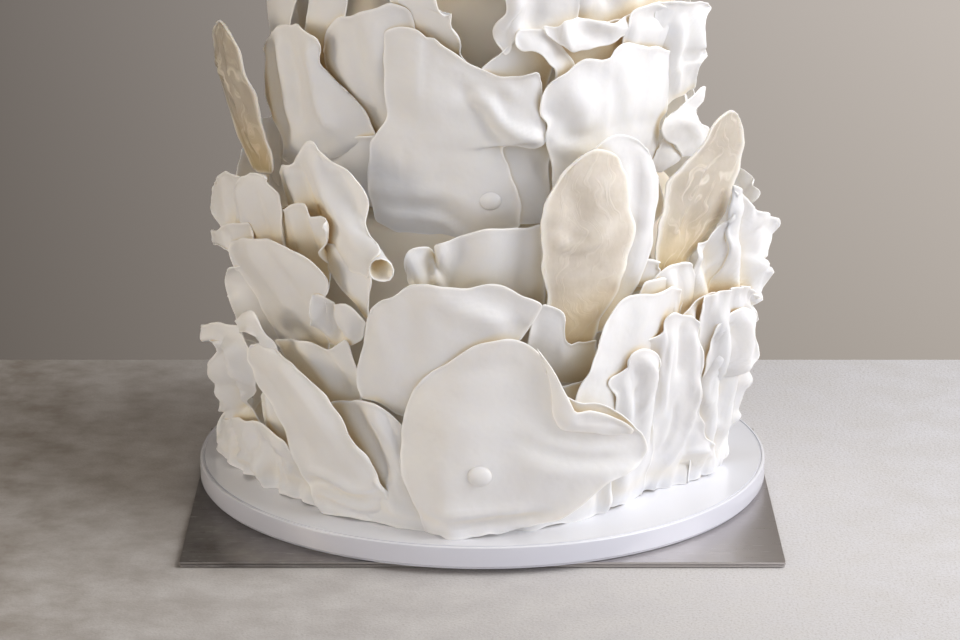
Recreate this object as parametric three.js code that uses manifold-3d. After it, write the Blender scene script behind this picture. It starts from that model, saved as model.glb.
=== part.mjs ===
// A two-tier wedding cake dressed in thin wavy sheets of white sugar paste, with three shards of
// clear sugar and two paste beads. It stands on a round cake drum and a steel sheet under the drum.
//
// Frame: millimetres, +Z up, the front is -Y. The origin is on the drum's axis, on the underside
// of the steel sheet. A place on the cake is given as [azimuth, height, radius]: the azimuth is in
// degrees, 0 at the front and growing towards +X, and the height is above the steel's underside.

import * as THREE from 'three';
import { mergeVertices } from 'three/addons/utils/BufferGeometryUtils.js';
import Module from 'manifold-3d';

const wasm = await Module();
wasm.setup();

// ---------------------------------------------------------------- driving dimensions
const gap = 0.3;                      // air between pieces that touch
const steelWidth = 305;
const steelDepth = 210;
const steelThickness = 3.3;
const steelForward = 36.5;            // how far the steel's middle lies in front of the drum's axis
const drumRadius = 152.5;             // a 12-inch cake drum
const drumThickness = 11.6;
const drumEdge = 1.2;                 // rounding of the drum's edges
const lowerTierRadius = 101;
const upperTierRadius = 78;
const tierHeight = 150;
const tierEdge = 5;                   // rounding of a tier's top edge
const roundSides = 64;                // facets round a tier or the drum
const pasteThickness = 2;             // a rolled sheet of sugar paste
const shardThickness = 3.4;
const facetSize = 15.5;                // aim for the facets of a sheet
const facetLimits = [3, 9];           // fewest and most facets along a sheet's side
const beadRadius = 5.6;
const beadSides = 12;

const drumTop = steelThickness + gap + drumThickness;
const lowerTierFoot = drumTop + gap;
const lowerTierTop = lowerTierFoot + tierHeight;
const upperTierFoot = lowerTierTop + gap;
const upperTierTop = upperTierFoot + tierHeight;

// ---------------------------------------------------------------- materials
const finishes = {
  paste: { color: 0xf4f1ea, roughness: 0.55, metalness: 0 },
  sponge: { color: 0xece5d6, roughness: 0.7, metalness: 0 },
  clearSugar: { color: 0xd9c9a8, roughness: 0.2, metalness: 0, transparent: true, opacity: 0.75 },
  drum: { color: 0xf3f2f6, roughness: 0.35, metalness: 0 },
  steel: { color: 0x9b9794, roughness: 0.4, metalness: 0.9 },
};

// ---------------------------------------------------------------- the sheets
// Each sheet is a patch between four edges. The foot and the top run from left to right, and the
// left and right edges hold the places between the corners, from the foot up.
// crown: how far the middle bulges out.

const plain = { left: [], right: [], crown: 0 };
const places = [];

function sheet(name, shape) {
  places.push({ name, ...plain, ...shape });
}

// upper tier, from the inside out
sheet('upper_far_left', {
  foot: [[-100, 205, 100], [-66, 225, 104]],
  top: [[-80, 300, 110], [-60, 296, 112], [-50, 290, 112]],
  left: [[-100, 255, 106]],
  right: [[-62, 258, 109]],
  crown: 4,
});
sheet('upper_back_left', {
  foot: [[-80, 206, 96], [-48, 218, 94]],
  top: [[-49, 296, 112], [-42, 300, 112], [-36, 294, 109]],
  left: [[-53.5, 261, 110]],
  right: [[-39.5, 271, 106]],
});
sheet('upper_round_left', {
  foot: [[-54, 203, 94], [-30, 200, 92]],
  top: [[-48.2, 251, 106], [-46.2, 258.5, 108], [-43, 266, 109], [-40, 270.5, 110],
    [-36, 272.5, 110], [-32, 275.5, 110], [-28, 278, 109], [-25, 280, 108], [-20, 277, 104]],
  left: [[-49, 224, 99], [-48.3, 240, 104]],
  right: [[-24, 224, 94], [-18, 255, 100]],
  crown: 3,
});
sheet('upper_frill_left', {
  foot: [[-26, 233, 92], [-6, 232, 92]],
  top: [[-25, 300, 112], [-20, 303, 112], [-15, 298, 111]],
  left: [[-26, 265, 100]],
  right: [[-2, 248, 97], [-4, 257, 101], [-3.6, 263, 103], [-4.4, 266, 104], [-6.3, 270, 105],
    [-7, 276.5, 107], [-9.7, 275.5, 107], [-11.5, 278.5, 108], [-12.3, 285, 110]],
});
sheet('upper_tuck_left', {
  foot: [[-60, 168, 88], [-33, 168, 88]],
  top: [[-50, 200, 100], [-41, 207, 101], [-27, 212, 100]],
  left: [[-56, 182, 93]],
  right: [[-30, 188, 92]],
});
sheet('upper_left', {
  foot: [[-84, 178, 104], [-60, 186, 101], [-36, 205, 96]],
  top: [[-74, 243, 115], [-68.4, 251, 117], [-64, 256, 118], [-57.4, 262, 119], [-53.7, 264.3, 119],
    [-49.9, 265.6, 119], [-48.4, 263.8, 119], [-46, 261.5, 118], [-44, 259.5, 116],
    [-43.8, 255, 114]],
  left: [[-66, 198, 112], [-68, 208, 114], [-73, 220, 116]],
  right: [[-32.4, 211, 98], [-33.7, 215.5, 99], [-35, 221.5, 101], [-37.6, 227.4, 103],
    [-41, 233, 105], [-43.7, 238, 107], [-45, 244, 110]],
});
sheet('upper_under_front', {
  foot: [[4.7, 169.6, 104], [19.6, 167.8, 103]],
  top: [[3.8, 214.2, 104], [20.1, 214.1, 103]],
  left: [[3.7, 191.7, 104.5]],
  right: [[18.6, 191.8, 103.5]],
});
sheet('upper_wavy_right', {
  foot: [[4.6, 258.5, 107], [6, 256.3, 109], [7.3, 258.5, 109], [8, 263, 108.5], [10, 266.5, 108],
    [15, 267, 107], [20, 265, 105], [26, 262, 103]],
  top: [[6, 300, 107], [15, 304, 108], [26, 300, 106]],
  left: [[3.2, 265, 104], [3, 267.5, 104], [3.3, 270.5, 105], [5.9, 277.5, 107], [5.7, 284, 108]],
  right: [[27, 275, 104]],
});
sheet('upper_drape_right', {
  foot: [[18.5, 178, 106], [38.5, 181, 103], [55, 186, 100]],
  top: [[16.2, 241.6, 112.5], [18.8, 245.5, 113], [21.6, 248.3, 113.5], [23.7, 251.1, 114],
    [26.6, 252.7, 114], [29, 252.3, 114], [32.2, 251.2, 113.5], [34.1, 252.6, 113.5],
    [34.7, 254.8, 113], [36.1, 256.9, 112.5], [38.7, 258.1, 112], [41.5, 257.9, 111.5],
    [44, 255.7, 111], [47.7, 252.7, 110.5], [52.7, 251.6, 110], [57.1, 248.8, 110], [61, 245.5, 109],
    [63.1, 240.6, 108]],
  left: [[18.6, 191.9, 109], [17.5, 201.9, 111], [16, 209.8, 112], [15.6, 216.7, 113.5],
    [16, 221.5, 114], [14.7, 226.6, 113.5], [14.9, 236.7, 113]],
  right: [[56, 190, 104], [57.4, 201, 105], [59.5, 211, 105], [61.3, 214, 106], [62.5, 222, 106],
    [64.5, 226.5, 106], [64, 234, 107]],
  crown: 2,
});
sheet('upper_front', {
  foot: [[-31.5, 166, 102], [-28, 163, 101], [-17, 161, 100], [-10, 159, 99], [-3.5, 162, 102],
    [10.5, 168, 104]],
  top: [[-26.4, 266, 107], [-24.4, 267.5, 108], [-22.1, 268.5, 108], [-18.2, 268.3, 108],
    [-16.3, 267.3, 108], [-14.9, 265, 107], [-13, 265, 107], [-10.9, 261.3, 107], [-8, 257.5, 107],
    [-4.3, 253, 107], [-0.5, 250, 107], [5, 247, 108], [9, 246.5, 109], [13.5, 249, 110],
    [15.5, 242, 109]],
  left: [[-32, 178, 106], [-31.8, 198.9, 107], [-31.1, 209.3, 107], [-29.1, 214, 107],
    [-26.7, 220.5, 107], [-27.2, 238.7, 107], [-26.8, 256, 107]],
  right: [[10.3, 178, 106], [9.2, 186, 106], [7.5, 197, 106], [5.5, 208.5, 106], [16, 212, 112],
    [16, 218, 112], [15.5, 226, 110]],
  crown: 2,
});
sheet('upper_swag', {
  foot: [[15.7, 266.3, 111], [18, 263.8, 111.5], [20, 260.1, 112], [22.1, 257, 112],
    [23.5, 255.6, 112], [26.3, 256.4, 111], [30, 257.3, 111], [33.8, 257.8, 111], [36.6, 258.6, 111],
    [39.1, 259.6, 110], [46, 258, 106]],
  top: [[15.6, 270.7, 109], [20, 270.7, 111], [20.5, 272.2, 112], [22.7, 272.8, 112],
    [24.8, 272.8, 111], [26.2, 271.6, 111], [28.4, 272.1, 111], [31.8, 271.5, 111],
    [34.5, 269.9, 111], [37.8, 269.8, 111], [40.3, 270.7, 110], [47, 271, 106]],
  crown: 1,
});
sheet('upper_top_right', {
  foot: [[24, 268, 100], [66, 262, 104]],
  top: [[22, 310, 110], [30, 314, 112], [36, 316, 112], [50, 312, 113], [62, 304, 114]],
});
sheet('upper_leaf_right', {
  foot: [[68.5, 187.5, 110], [74, 186, 114]],
  top: [[57.2, 214.2, 111], [62, 217, 113], [69.9, 223, 116], [71.7, 224.3, 117], [74.2, 224.4, 119]],
  left: [[63.5, 194, 111], [59.6, 198.6, 111], [55.3, 204.6, 111], [53.8, 209.3, 111],
    [55.2, 213, 111]],
  right: [[82, 190, 117], [84, 193.5, 118], [76.4, 203.2, 118], [71.6, 210.8, 118],
    [73.3, 215.2, 118.5]],
  crown: 2,
});
sheet('upper_frills_right', {
  foot: [[55, 212, 102], [64, 218, 107], [74, 222, 113]],
  top: [[50, 276, 112], [56, 275, 116], [61.2, 272.2, 118], [66, 271, 119], [71.5, 268, 120]],
  left: [[55, 228, 102], [54, 245, 104], [52, 262, 108]],
  right: [[71.3, 230, 115], [69.8, 238.5, 119], [72.5, 240, 120], [71.5, 243, 120], [68.5, 247, 120],
    [68.5, 253, 120], [70.9, 259.3, 120], [74.5, 264, 120]],
});
// lower tier, from the inside out
sheet('middle_front', {
  foot: [[-18, 125, 112], [16, 125, 112]],
  top: [[-17, 142, 122], [-17.5, 153, 127], [-16, 162, 129], [-13, 163, 127], [-11.5, 158, 121],
    [-10.5, 165, 126], [-6.5, 168, 126], [-3, 170, 126], [1.5, 173, 126], [9.5, 173, 125],
    [14, 175, 124]],
  right: [[15, 154, 120]],
  crown: 2,
});
sheet('middle_petal_right', {
  foot: [[28, 113, 120], [34, 112, 122]],
  top: [[24, 210, 129], [27, 215.5, 130], [31, 217, 130], [35, 214, 131], [38.5, 207, 131]],
  left: [[25.5, 168, 125]],
  right: [[34.5, 122, 123], [37, 132, 124], [38.3, 140, 127], [39.6, 149, 128], [40.7, 161, 130],
    [41.1, 171.5, 131], [41.3, 180, 131], [40.8, 198, 131]],
  crown: 2,
});
sheet('middle_back_right', {
  foot: [[34, 128, 118], [48, 130, 118]],
  top: [[36, 200, 126], [41, 196, 127], [42.8, 191, 128]],
  left: [[36, 160, 120]],
  right: [[44, 145, 122], [42, 160, 126], [41.5, 165, 127], [44.5, 172, 128], [45, 178, 128],
    [44.2, 184, 128]],
});
sheet('middle_tuck_right', {
  foot: [[11, 90, 120], [27, 88, 120]],
  top: [[12.6, 134.9, 128.5], [14.3, 134.4, 129], [16.2, 133, 129.5], [17.7, 130.1, 130],
    [18.3, 125.4, 130], [18.2, 119.6, 130], [18.6, 114.3, 129.5], [20, 112, 129],
    [21.7, 112.8, 128.5], [23.6, 111.8, 127.5], [27, 112, 126]],
  left: [[10, 105, 124], [10.5, 118, 128], [11.5, 128, 129]],
  right: [[27, 100, 124]],
});
sheet('left_leaf', {
  foot: [[-29.3, 124, 124], [-26.6, 120.3, 126]],
  top: [[-40.3, 154.5, 125], [-39.8, 157, 126], [-37.4, 158.6, 127], [-33.8, 159.8, 128],
    [-30.6, 158.2, 129], [-27.5, 155.4, 129], [-25.5, 151, 129]],
  left: [[-30.5, 127.7, 124], [-33.8, 133.8, 124], [-36.1, 139.3, 124], [-38.5, 144.7, 124],
    [-38.4, 150, 125]],
  right: [[-25.9, 133, 128], [-25.3, 142, 129]],
  crown: 1,
});
sheet('left_drape', {
  foot: [[-50, 150, 119], [-41, 148, 120], [-31, 147, 129], [-24.5, 147, 137]],
  top: [[-55, 187.6, 124], [-53.1, 192, 126], [-49.9, 194.7, 128], [-47.7, 197.2, 129],
    [-45.2, 201.3, 130], [-43.2, 205.8, 131], [-40.3, 211, 132], [-38.6, 210, 132],
    [-37.9, 207, 131], [-35.8, 205.3, 131], [-32.6, 202.3, 131], [-30.5, 199.1, 130],
    [-28.8, 195, 130], [-27, 190.2, 129]],
  left: [[-54, 168, 121]],
  right: [[-23.4, 151, 139.5], [-23, 155, 141], [-22, 158.6, 142], [-21, 161, 140],
    [-22, 163.4, 136], [-23.7, 165.5, 133], [-25.5, 170, 131], [-26.5, 174, 129], [-26.1, 178, 128],
    [-25.8, 184.6, 128]],
});
sheet('left_far', {
  foot: [[-80, 140, 134], [-64.5, 138, 130]],
  top: [[-76, 173, 142], [-72.4, 178, 142], [-65.2, 185, 142], [-60, 183, 136]],
  left: [[-75, 149, 140], [-78, 152, 142], [-83, 158, 142], [-80, 167, 142]],
});
sheet('left_ear', {
  foot: [[-72, 136, 128], [-52, 138, 124]],
  top: [[-63.5, 176, 139], [-61.3, 183, 140], [-58.4, 187, 140], [-54.5, 191, 139],
    [-51.3, 191, 138], [-49.6, 190.2, 138]],
  left: [[-69, 148, 132], [-66.5, 157, 135], [-64.8, 167, 138]],
  right: [[-51.2, 152, 128], [-50.3, 173.6, 131], [-49.7, 180.5, 133], [-51, 183.5, 135],
    [-52, 186, 137]],
  crown: 3,
});
sheet('left_fold', {
  foot: [[-55, 128, 119], [-41, 130, 118]],
  top: [[-52.4, 170, 128], [-50, 171.5, 130], [-47.7, 174.5, 131], [-44, 177.5, 133],
    [-41.1, 178.8, 134], [-39.6, 177, 135], [-39, 174.9, 135], [-36.3, 175.4, 135],
    [-34.7, 173.2, 135], [-34.1, 169, 134]],
  left: [[-52, 150, 125]],
  right: [[-38.5, 148, 123], [-36.8, 157, 128], [-35.3, 161, 131], [-34.2, 164.5, 133]],
});
sheet('left_shade', {
  foot: [[-80, 84, 126], [-58, 88, 118]],
  top: [[-69, 131, 140], [-62, 136, 131], [-54, 136, 119]],
  left: [[-71, 104, 136], [-71.2, 114.4, 140], [-73.4, 120.3, 140], [-71.5, 126, 140]],
  right: [[-55, 110, 113]],
});
sheet('left_round', {
  foot: [[-62.5, 94, 118], [-52.7, 98, 118], [-41, 98, 119]],
  top: [[-67.2, 146.6, 140], [-64.7, 149, 140], [-60, 152.8, 141], [-53.8, 156, 142],
    [-47.7, 159.4, 143], [-45.2, 158.7, 143], [-42.3, 157, 143], [-38.8, 154.6, 142],
    [-36, 150.3, 141], [-34.5, 146, 139]],
  left: [[-61.6, 105.6, 124], [-61.9, 113.5, 128], [-65.2, 123, 132], [-67.4, 130.6, 136],
    [-69.2, 135, 138], [-68.4, 140.5, 140]],
  right: [[-39, 110, 122], [-37, 122, 129], [-36.1, 132, 133], [-34.6, 138, 136],
    [-34.2, 141.5, 137]],
  crown: 1,
});
sheet('left_heart', {
  foot: [[-39.5, 102.5, 121], [-34, 104, 122]],
  top: [[-40.2, 130.5, 134], [-37.5, 133.3, 134], [-36, 132, 134], [-35.4, 127.6, 131],
    [-32.9, 130.4, 133], [-30.3, 131.4, 133], [-28.4, 128, 132], [-26.2, 121.5, 129]],
  left: [[-40.9, 110.7, 124], [-41, 116.4, 130], [-41.2, 124, 134]],
  right: [[-29, 110, 125]],
});
sheet('front_middle', {
  foot: [[-29, 81, 127], [-24.5, 78, 125], [-19, 72, 122], [-8, 66, 118], [4, 69, 118]],
  top: [[-25, 129, 132], [-22.5, 135, 134], [-18, 141, 135], [-15.5, 145, 136], [-4.5, 146, 137],
    [2.5, 147, 137], [8, 142, 136], [13, 136, 134]],
  left: [[-29, 95, 130], [-26.5, 113, 132]],
  right: [[5, 92, 124], [8, 117, 132], [11, 127, 134]],
  crown: 2,
});
sheet('right_fan', {
  foot: [[18.3, 75.8, 139], [31.6, 67.4, 133], [43.8, 61, 124]],
  top: [[26.4, 130.4, 141], [28.8, 135.3, 141.5], [32.8, 137.3, 141], [36.6, 136, 140],
    [43.6, 134.9, 137], [49, 131, 133]],
  left: [[19.2, 88.6, 140], [21.4, 100.9, 141], [23.3, 112.6, 141], [24.5, 121.4, 141]],
  right: [[48, 85, 123], [50, 112, 128]],
  crown: 1,
});
sheet('base_twist_left', {
  foot: [[-85, 22, 141], [-64.5, 44, 126]],
  top: [[-78.1, 92.6, 150], [-70, 102, 150], [-60.5, 106, 143]],
  left: [[-84, 32, 142], [-83, 40, 142], [-79, 46, 141], [-78.5, 53, 142], [-75, 67, 145],
    [-72, 78, 148], [-69.3, 86, 148], [-68.5, 91, 149], [-76, 89, 150]],
  right: [[-66, 56, 130], [-60, 72, 134], [-57.5, 90, 140]],
});
sheet('base_tuck_left', {
  foot: [[-43, 50, 120], [-30.5, 66, 120]],
  top: [[-54, 100, 130], [-47.5, 105, 131], [-41.5, 106, 131], [-37.5, 103, 129], [-32.5, 110, 128]],
  left: [[-48, 76, 125]],
  right: [[-30, 89, 123]],
});
sheet('base_under_left', {
  foot: [[-32.5, 16, 126], [-22, 15.7, 130], [-15, 15.8, 131.5], [-8, 16, 131.5]],
  top: [[-37, 75, 127], [-29.5, 80, 129], [-24.5, 80, 130], [-21, 75, 129], [-18, 69, 127]],
  left: [[-34, 39, 126]],
  right: [[-11, 32, 129], [-15, 50, 127]],
});
sheet('base_skirt_left', {
  foot: [[-92, 20, 142], [-86, 19, 141], [-83, 16, 140], [-77, 17.5, 136], [-74, 15.5, 134],
    [-68, 17, 132], [-65, 15.5, 131], [-58, 16.5, 128], [-53, 15.5, 127], [-46, 16.5, 126],
    [-40, 15.5, 126], [-36, 16, 124]],
  top: [[-84, 36, 139], [-68.5, 49.5, 138], [-61, 53.5, 136], [-55.9, 54.5, 136], [-52.9, 51.5, 134],
    [-48.8, 49.3, 133], [-47, 42, 131], [-41, 32, 128]],
});
sheet('base_band_left', {
  foot: [[-39.5, 17, 131], [-35, 16, 131], [-28, 16, 130], [-21, 16, 128]],
  top: [[-53.5, 100.5, 144], [-51.5, 103, 144], [-47.7, 101, 140]],
  left: [[-41, 28, 134], [-45, 40, 135], [-47.5, 55, 136], [-50, 66, 138], [-54.7, 78.4, 141],
    [-55.2, 85.7, 143], [-56.9, 90.7, 144], [-56.6, 95.6, 144]],
  right: [[-20.5, 32, 130], [-23, 42, 132], [-27.5, 60, 136], [-31, 73, 138], [-37, 88, 140],
    [-42, 96, 141], [-46, 99.5, 141]],
  crown: 1,
});
sheet('base_skirt_front', {
  foot: [[-4, 15.6, 133], [5, 16, 131], [12, 15.6, 129], [18.3, 16, 126], [25, 15.6, 123],
    [31.5, 16, 121.5]],
  top: [[-4, 44, 122], [8, 44, 122], [20, 44, 124], [28, 44, 125], [31, 38, 124]],
  right: [[32, 27, 123]],
});
sheet('base_front', {
  foot: [[-12.5, 15.6, 132], [-9.5, 15.6, 137], [-7.2, 15.8, 142], [-1.6, 16.2, 139], [5, 17.5, 136],
    [11.5, 21, 138], [15.4, 25.6, 146]],
  top: [[-14.5, 93, 130], [-7.5, 106, 133], [-1.5, 116, 136], [3.5, 119, 138], [9.5, 117, 140],
    [12.5, 109, 145], [13, 102, 147], [13.5, 96, 149], [15.5, 93, 151], [18.3, 89, 153],
    [22, 88, 154], [25.5, 83, 156], [28.5, 75, 158]],
  left: [[-13.2, 22, 134], [-15, 32, 136], [-17, 44, 135], [-18, 56, 133], [-18, 68, 131],
    [-17, 80, 130]],
  right: [[20, 34, 149], [24, 45, 153], [28, 50, 155], [31.5, 57, 156], [31, 66, 157]],
  crown: 2,
});
sheet('base_lobed_right', {
  foot: [[29, 16, 116], [36, 16, 117], [42, 15.6, 114], [48, 16, 111]],
  top: [[26.8, 95, 138], [29.4, 97, 139], [31.2, 100, 140], [31.3, 105.5, 141], [34, 108, 141.5],
    [36.6, 107, 141.5], [38.5, 103.3, 141], [39.3, 97, 140]],
  left: [[29, 60, 128], [29.2, 74, 134], [29.4, 80, 136], [29.2, 84, 137], [27.6, 88.3, 137],
    [26.6, 92, 138]],
  right: [[44, 50, 126], [40.5, 78, 135]],
  crown: 2,
});
sheet('base_column_right', {
  foot: [[44, 15.6, 111], [50, 16, 112], [57, 15.6, 116], [64, 16, 123], [71, 16, 128]],
  top: [[37, 110.9, 135], [39.7, 111.5, 137], [41, 114.6, 138.5], [41.3, 119.9, 139],
    [42.4, 122.5, 140], [45.4, 121.2, 140], [49, 117.5, 140.5], [50.8, 113.4, 141]],
  left: [[42, 50, 124], [40.5, 85, 132], [38, 104, 134]],
  right: [[69, 30, 131], [62, 43, 132], [57.5, 55, 134], [54, 69, 136.5], [52.8, 82, 138],
    [51.5, 103, 140]],
});
sheet('right_frills_low', {
  foot: [[62, 16, 120], [70, 16, 126], [80, 16, 129]],
  top: [[52, 124, 140], [56.5, 128, 146], [64, 126, 150], [70, 116, 150]],
  left: [[58, 50, 128], [56, 90, 132]],
  right: [[79, 36, 134], [74.5, 52, 139], [74, 62, 142], [75, 71, 146], [78, 76, 149],
    [78.5, 88, 144], [77, 96, 147], [73, 104, 148]],
});
sheet('right_frills_high', {
  foot: [[50, 100, 126], [80, 92, 136]],
  top: [[52.3, 154, 136], [55.4, 153, 136], [56.7, 156.3, 138], [58.9, 162.3, 141], [60.5, 171, 145],
    [60, 179, 147], [58.5, 182.5, 148], [62, 177, 148.5], [66.3, 166, 152], [70.2, 161.6, 155],
    [74, 154.4, 158]],
  left: [[51.5, 120, 129], [53.7, 141, 132], [53.6, 146, 134], [52.6, 150, 135]],
  right: [[72, 104, 142], [71.4, 112, 149], [73.4, 119, 154], [73.2, 127.4, 156], [71.6, 134.6, 152],
    [72.3, 143.5, 154], [74.6, 149, 158.5]],
});

// ---------------------------------------------------------------- shards and beads
const shards = [
  {
    name: 'shard_left',
    foot: [[-76, 178, 122], [-64, 181, 118]],
    top: [[-72.5, 260, 141], [-69.5, 261, 141], [-67.5, 259, 140]],
    left: [[-78, 192, 127], [-81.5, 208, 132], [-84, 226, 137], [-80, 247, 140]],
    right: [[-62.5, 194, 121], [-62, 207, 125], [-61.5, 221, 129], [-61.5, 235, 134],
      [-63.5, 250, 137]],
  },
  {
    name: 'shard_front',
    foot: [[16, 104, 121], [26, 104, 121]],
    top: [[18.2, 203.5, 134], [20.6, 209, 134], [23.6, 212, 134], [26.6, 211, 134], [30, 209.3, 134]],
    left: [[14.4, 122, 124], [14.2, 135, 127.5], [13.2, 152.5, 131], [12.6, 162, 132],
      [12.2, 172, 133], [12.4, 180, 134], [13.5, 187.6, 134], [15.5, 196.5, 134]],
    right: [[28.5, 124, 126], [31.1, 136.3, 128], [31.6, 143.4, 131], [33, 154.6, 132],
      [33.8, 167, 134], [33.3, 175, 134], [32.9, 187.5, 134], [31.9, 196.5, 134], [30.4, 203, 134]],
    crown: 2,
  },
  {
    name: 'shard_right',
    foot: [[43.5, 138, 126], [53, 136, 128]],
    top: [[52.5, 219, 146], [56, 222, 148], [59.5, 219, 149]],
    left: [[42.5, 152, 128], [42.5, 164, 130], [43, 180, 132], [44.5, 191, 134], [47.5, 199, 137],
      [50.5, 208, 142]],
    right: [[54.5, 146, 130], [58, 151, 133], [60.5, 160, 136], [62.5, 172, 141],
      [63.5, 190, 145], [62.5, 209, 148]],
  },
];
const beads = [
  // name, azimuth, height, radius of the middle
  ['bead_upper', 2, 182, 106],
  ['bead_lower', -0.6, 50.4, 145.2],
];

// The back repeats sheets of the front as their mirror images.
const backStretch = 1.12;             // the right half of the back is this much wider
const backCloser = 0.96;
const backs = [
  // name, the sheet it repeats
  ['back_top_left', 'upper_left'],
  ['back_top_middle', 'upper_front'],
  ['back_top_right', 'upper_drape_right'],
  ['back_collar_left', 'left_drape'],
  ['back_collar_right', 'middle_petal_right'],
  ['back_upper_left', 'left_round'],
  ['back_upper_middle', 'front_middle'],
  ['back_upper_right', 'right_fan'],
  ['back_low_left', 'base_band_left'],
  ['back_low_middle', 'base_front'],
  ['back_low_right', 'base_column_right'],
  ['back_low_frills', 'right_frills_low'],
];

function behind([name, source]) {
  const shape = places.find((place) => place.name === source);
  const moved = (points) => points.map(([azimuth, height, radius]) => [
    180 - azimuth * (azimuth > 0 ? backStretch : 1),
    height,
    radius * backCloser,
  ]);
  return {
    ...shape,
    name,
    foot: moved(shape.foot).reverse(),
    top: moved(shape.top).reverse(),
    left: moved(shape.right),
    right: moved(shape.left),
  };
}

const backPlaces = backs.map(behind);

// ---------------------------------------------------------------- shaping a sheet
const radians = THREE.MathUtils.degToRad;

function toPoint([azimuth, height, radius]) {
  const angle = radians(azimuth);
  return new THREE.Vector3(radius * Math.sin(angle), -radius * Math.cos(angle), height);
}

// A smooth curve through places, followed by the length of its chords.
function curveThrough(points) {
  const chord = (a, b) => toPoint(a).distanceTo(toPoint(b));
  const knots = [0];
  for (let i = 1; i < points.length; i += 1) knots.push(knots[i - 1] + chord(points[i - 1], points[i]));
  const length = knots[knots.length - 1];
  const steps = knots.map((knot) => knot / length);
  const slope = (i, axis) => (points[i + 1][axis] - points[i][axis]) / (steps[i + 1] - steps[i]);
  const slopes = points.map((point, i) => point.map((value, axis) => {
    if (i === 0) return slope(0, axis);
    if (i === points.length - 1) return slope(i - 1, axis);
    const before = steps[i] - steps[i - 1];
    const after = steps[i + 1] - steps[i];
    return (slope(i - 1, axis) * after + slope(i, axis) * before) / (before + after);
  }));
  const at = (t) => {
    let i = 0;
    while (i < points.length - 2 && t > steps[i + 1]) i += 1;
    const span = steps[i + 1] - steps[i];
    const s = (t - steps[i]) / span;
    return points[i].map((value, axis) => (2 * s ** 3 - 3 * s ** 2 + 1) * value
      + (s ** 3 - 2 * s ** 2 + s) * span * slopes[i][axis]
      + (3 * s ** 2 - 2 * s ** 3) * points[i + 1][axis]
      + (s ** 3 - s ** 2) * span * slopes[i + 1][axis]);
  };
  return { at, length };
}

// The curved surface of a sheet: u runs from left to right and v from the foot to the top.
function shaped({ foot, top, left, right, crown }) {
  const last = (points) => points[points.length - 1];
  const curves = {
    foot: curveThrough(foot),
    top: curveThrough(top),
    left: curveThrough([foot[0], ...left, top[0]]),
    right: curveThrough([last(foot), ...right, last(top)]),
  };
  const width = (curves.foot.length + curves.top.length) / 2;
  const height = (curves.left.length + curves.right.length) / 2;
  const corners = [foot[0], last(foot), top[0], last(top)];
  const at = (u, v) => {
    const weights = [(1 - u) * (1 - v), u * (1 - v), (1 - u) * v, u * v];
    const sides = [curves.foot.at(u), curves.top.at(u), curves.left.at(v), curves.right.at(v)];
    const place = [0, 1, 2].map((axis) => (1 - v) * sides[0][axis] + v * sides[1][axis]
      + (1 - u) * sides[2][axis] + u * sides[3][axis]
      - corners.reduce((sum, corner, i) => sum + weights[i] * corner[axis], 0));
    place[2] += crown * 16 * u * (1 - u) * v * (1 - v);
    return toPoint(place);
  };
  return { at, width, height };
}

// ---------------------------------------------------------------- solids
function solidOf(geometry) {
  const bare = geometry.clone();
  bare.deleteAttribute('normal');
  bare.deleteAttribute('uv');
  const merged = mergeVertices(bare, 1e-4);
  const corners = new Uint32Array(merged.index.array);
  const corner = (i) => new THREE.Vector3().fromBufferAttribute(merged.attributes.position, corners[i]);
  let volume = 0;
  for (let i = 0; i < corners.length; i += 3) volume += corner(i).dot(corner(i + 1).cross(corner(i + 2)));
  if (volume < 0) corners.reverse();
  return new wasm.Manifold(new wasm.Mesh({
    numProp: 3,
    vertProperties: new Float32Array(merged.attributes.position.array),
    triVerts: corners,
  }));
}

function bufferOf(points, triangles) {
  const geometry = new THREE.BufferGeometry();
  geometry.setAttribute('position', new THREE.Float32BufferAttribute(points.flatMap((p) => [p.x, p.y, p.z]), 3));
  geometry.setIndex(triangles.flat());
  return geometry;
}

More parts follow.
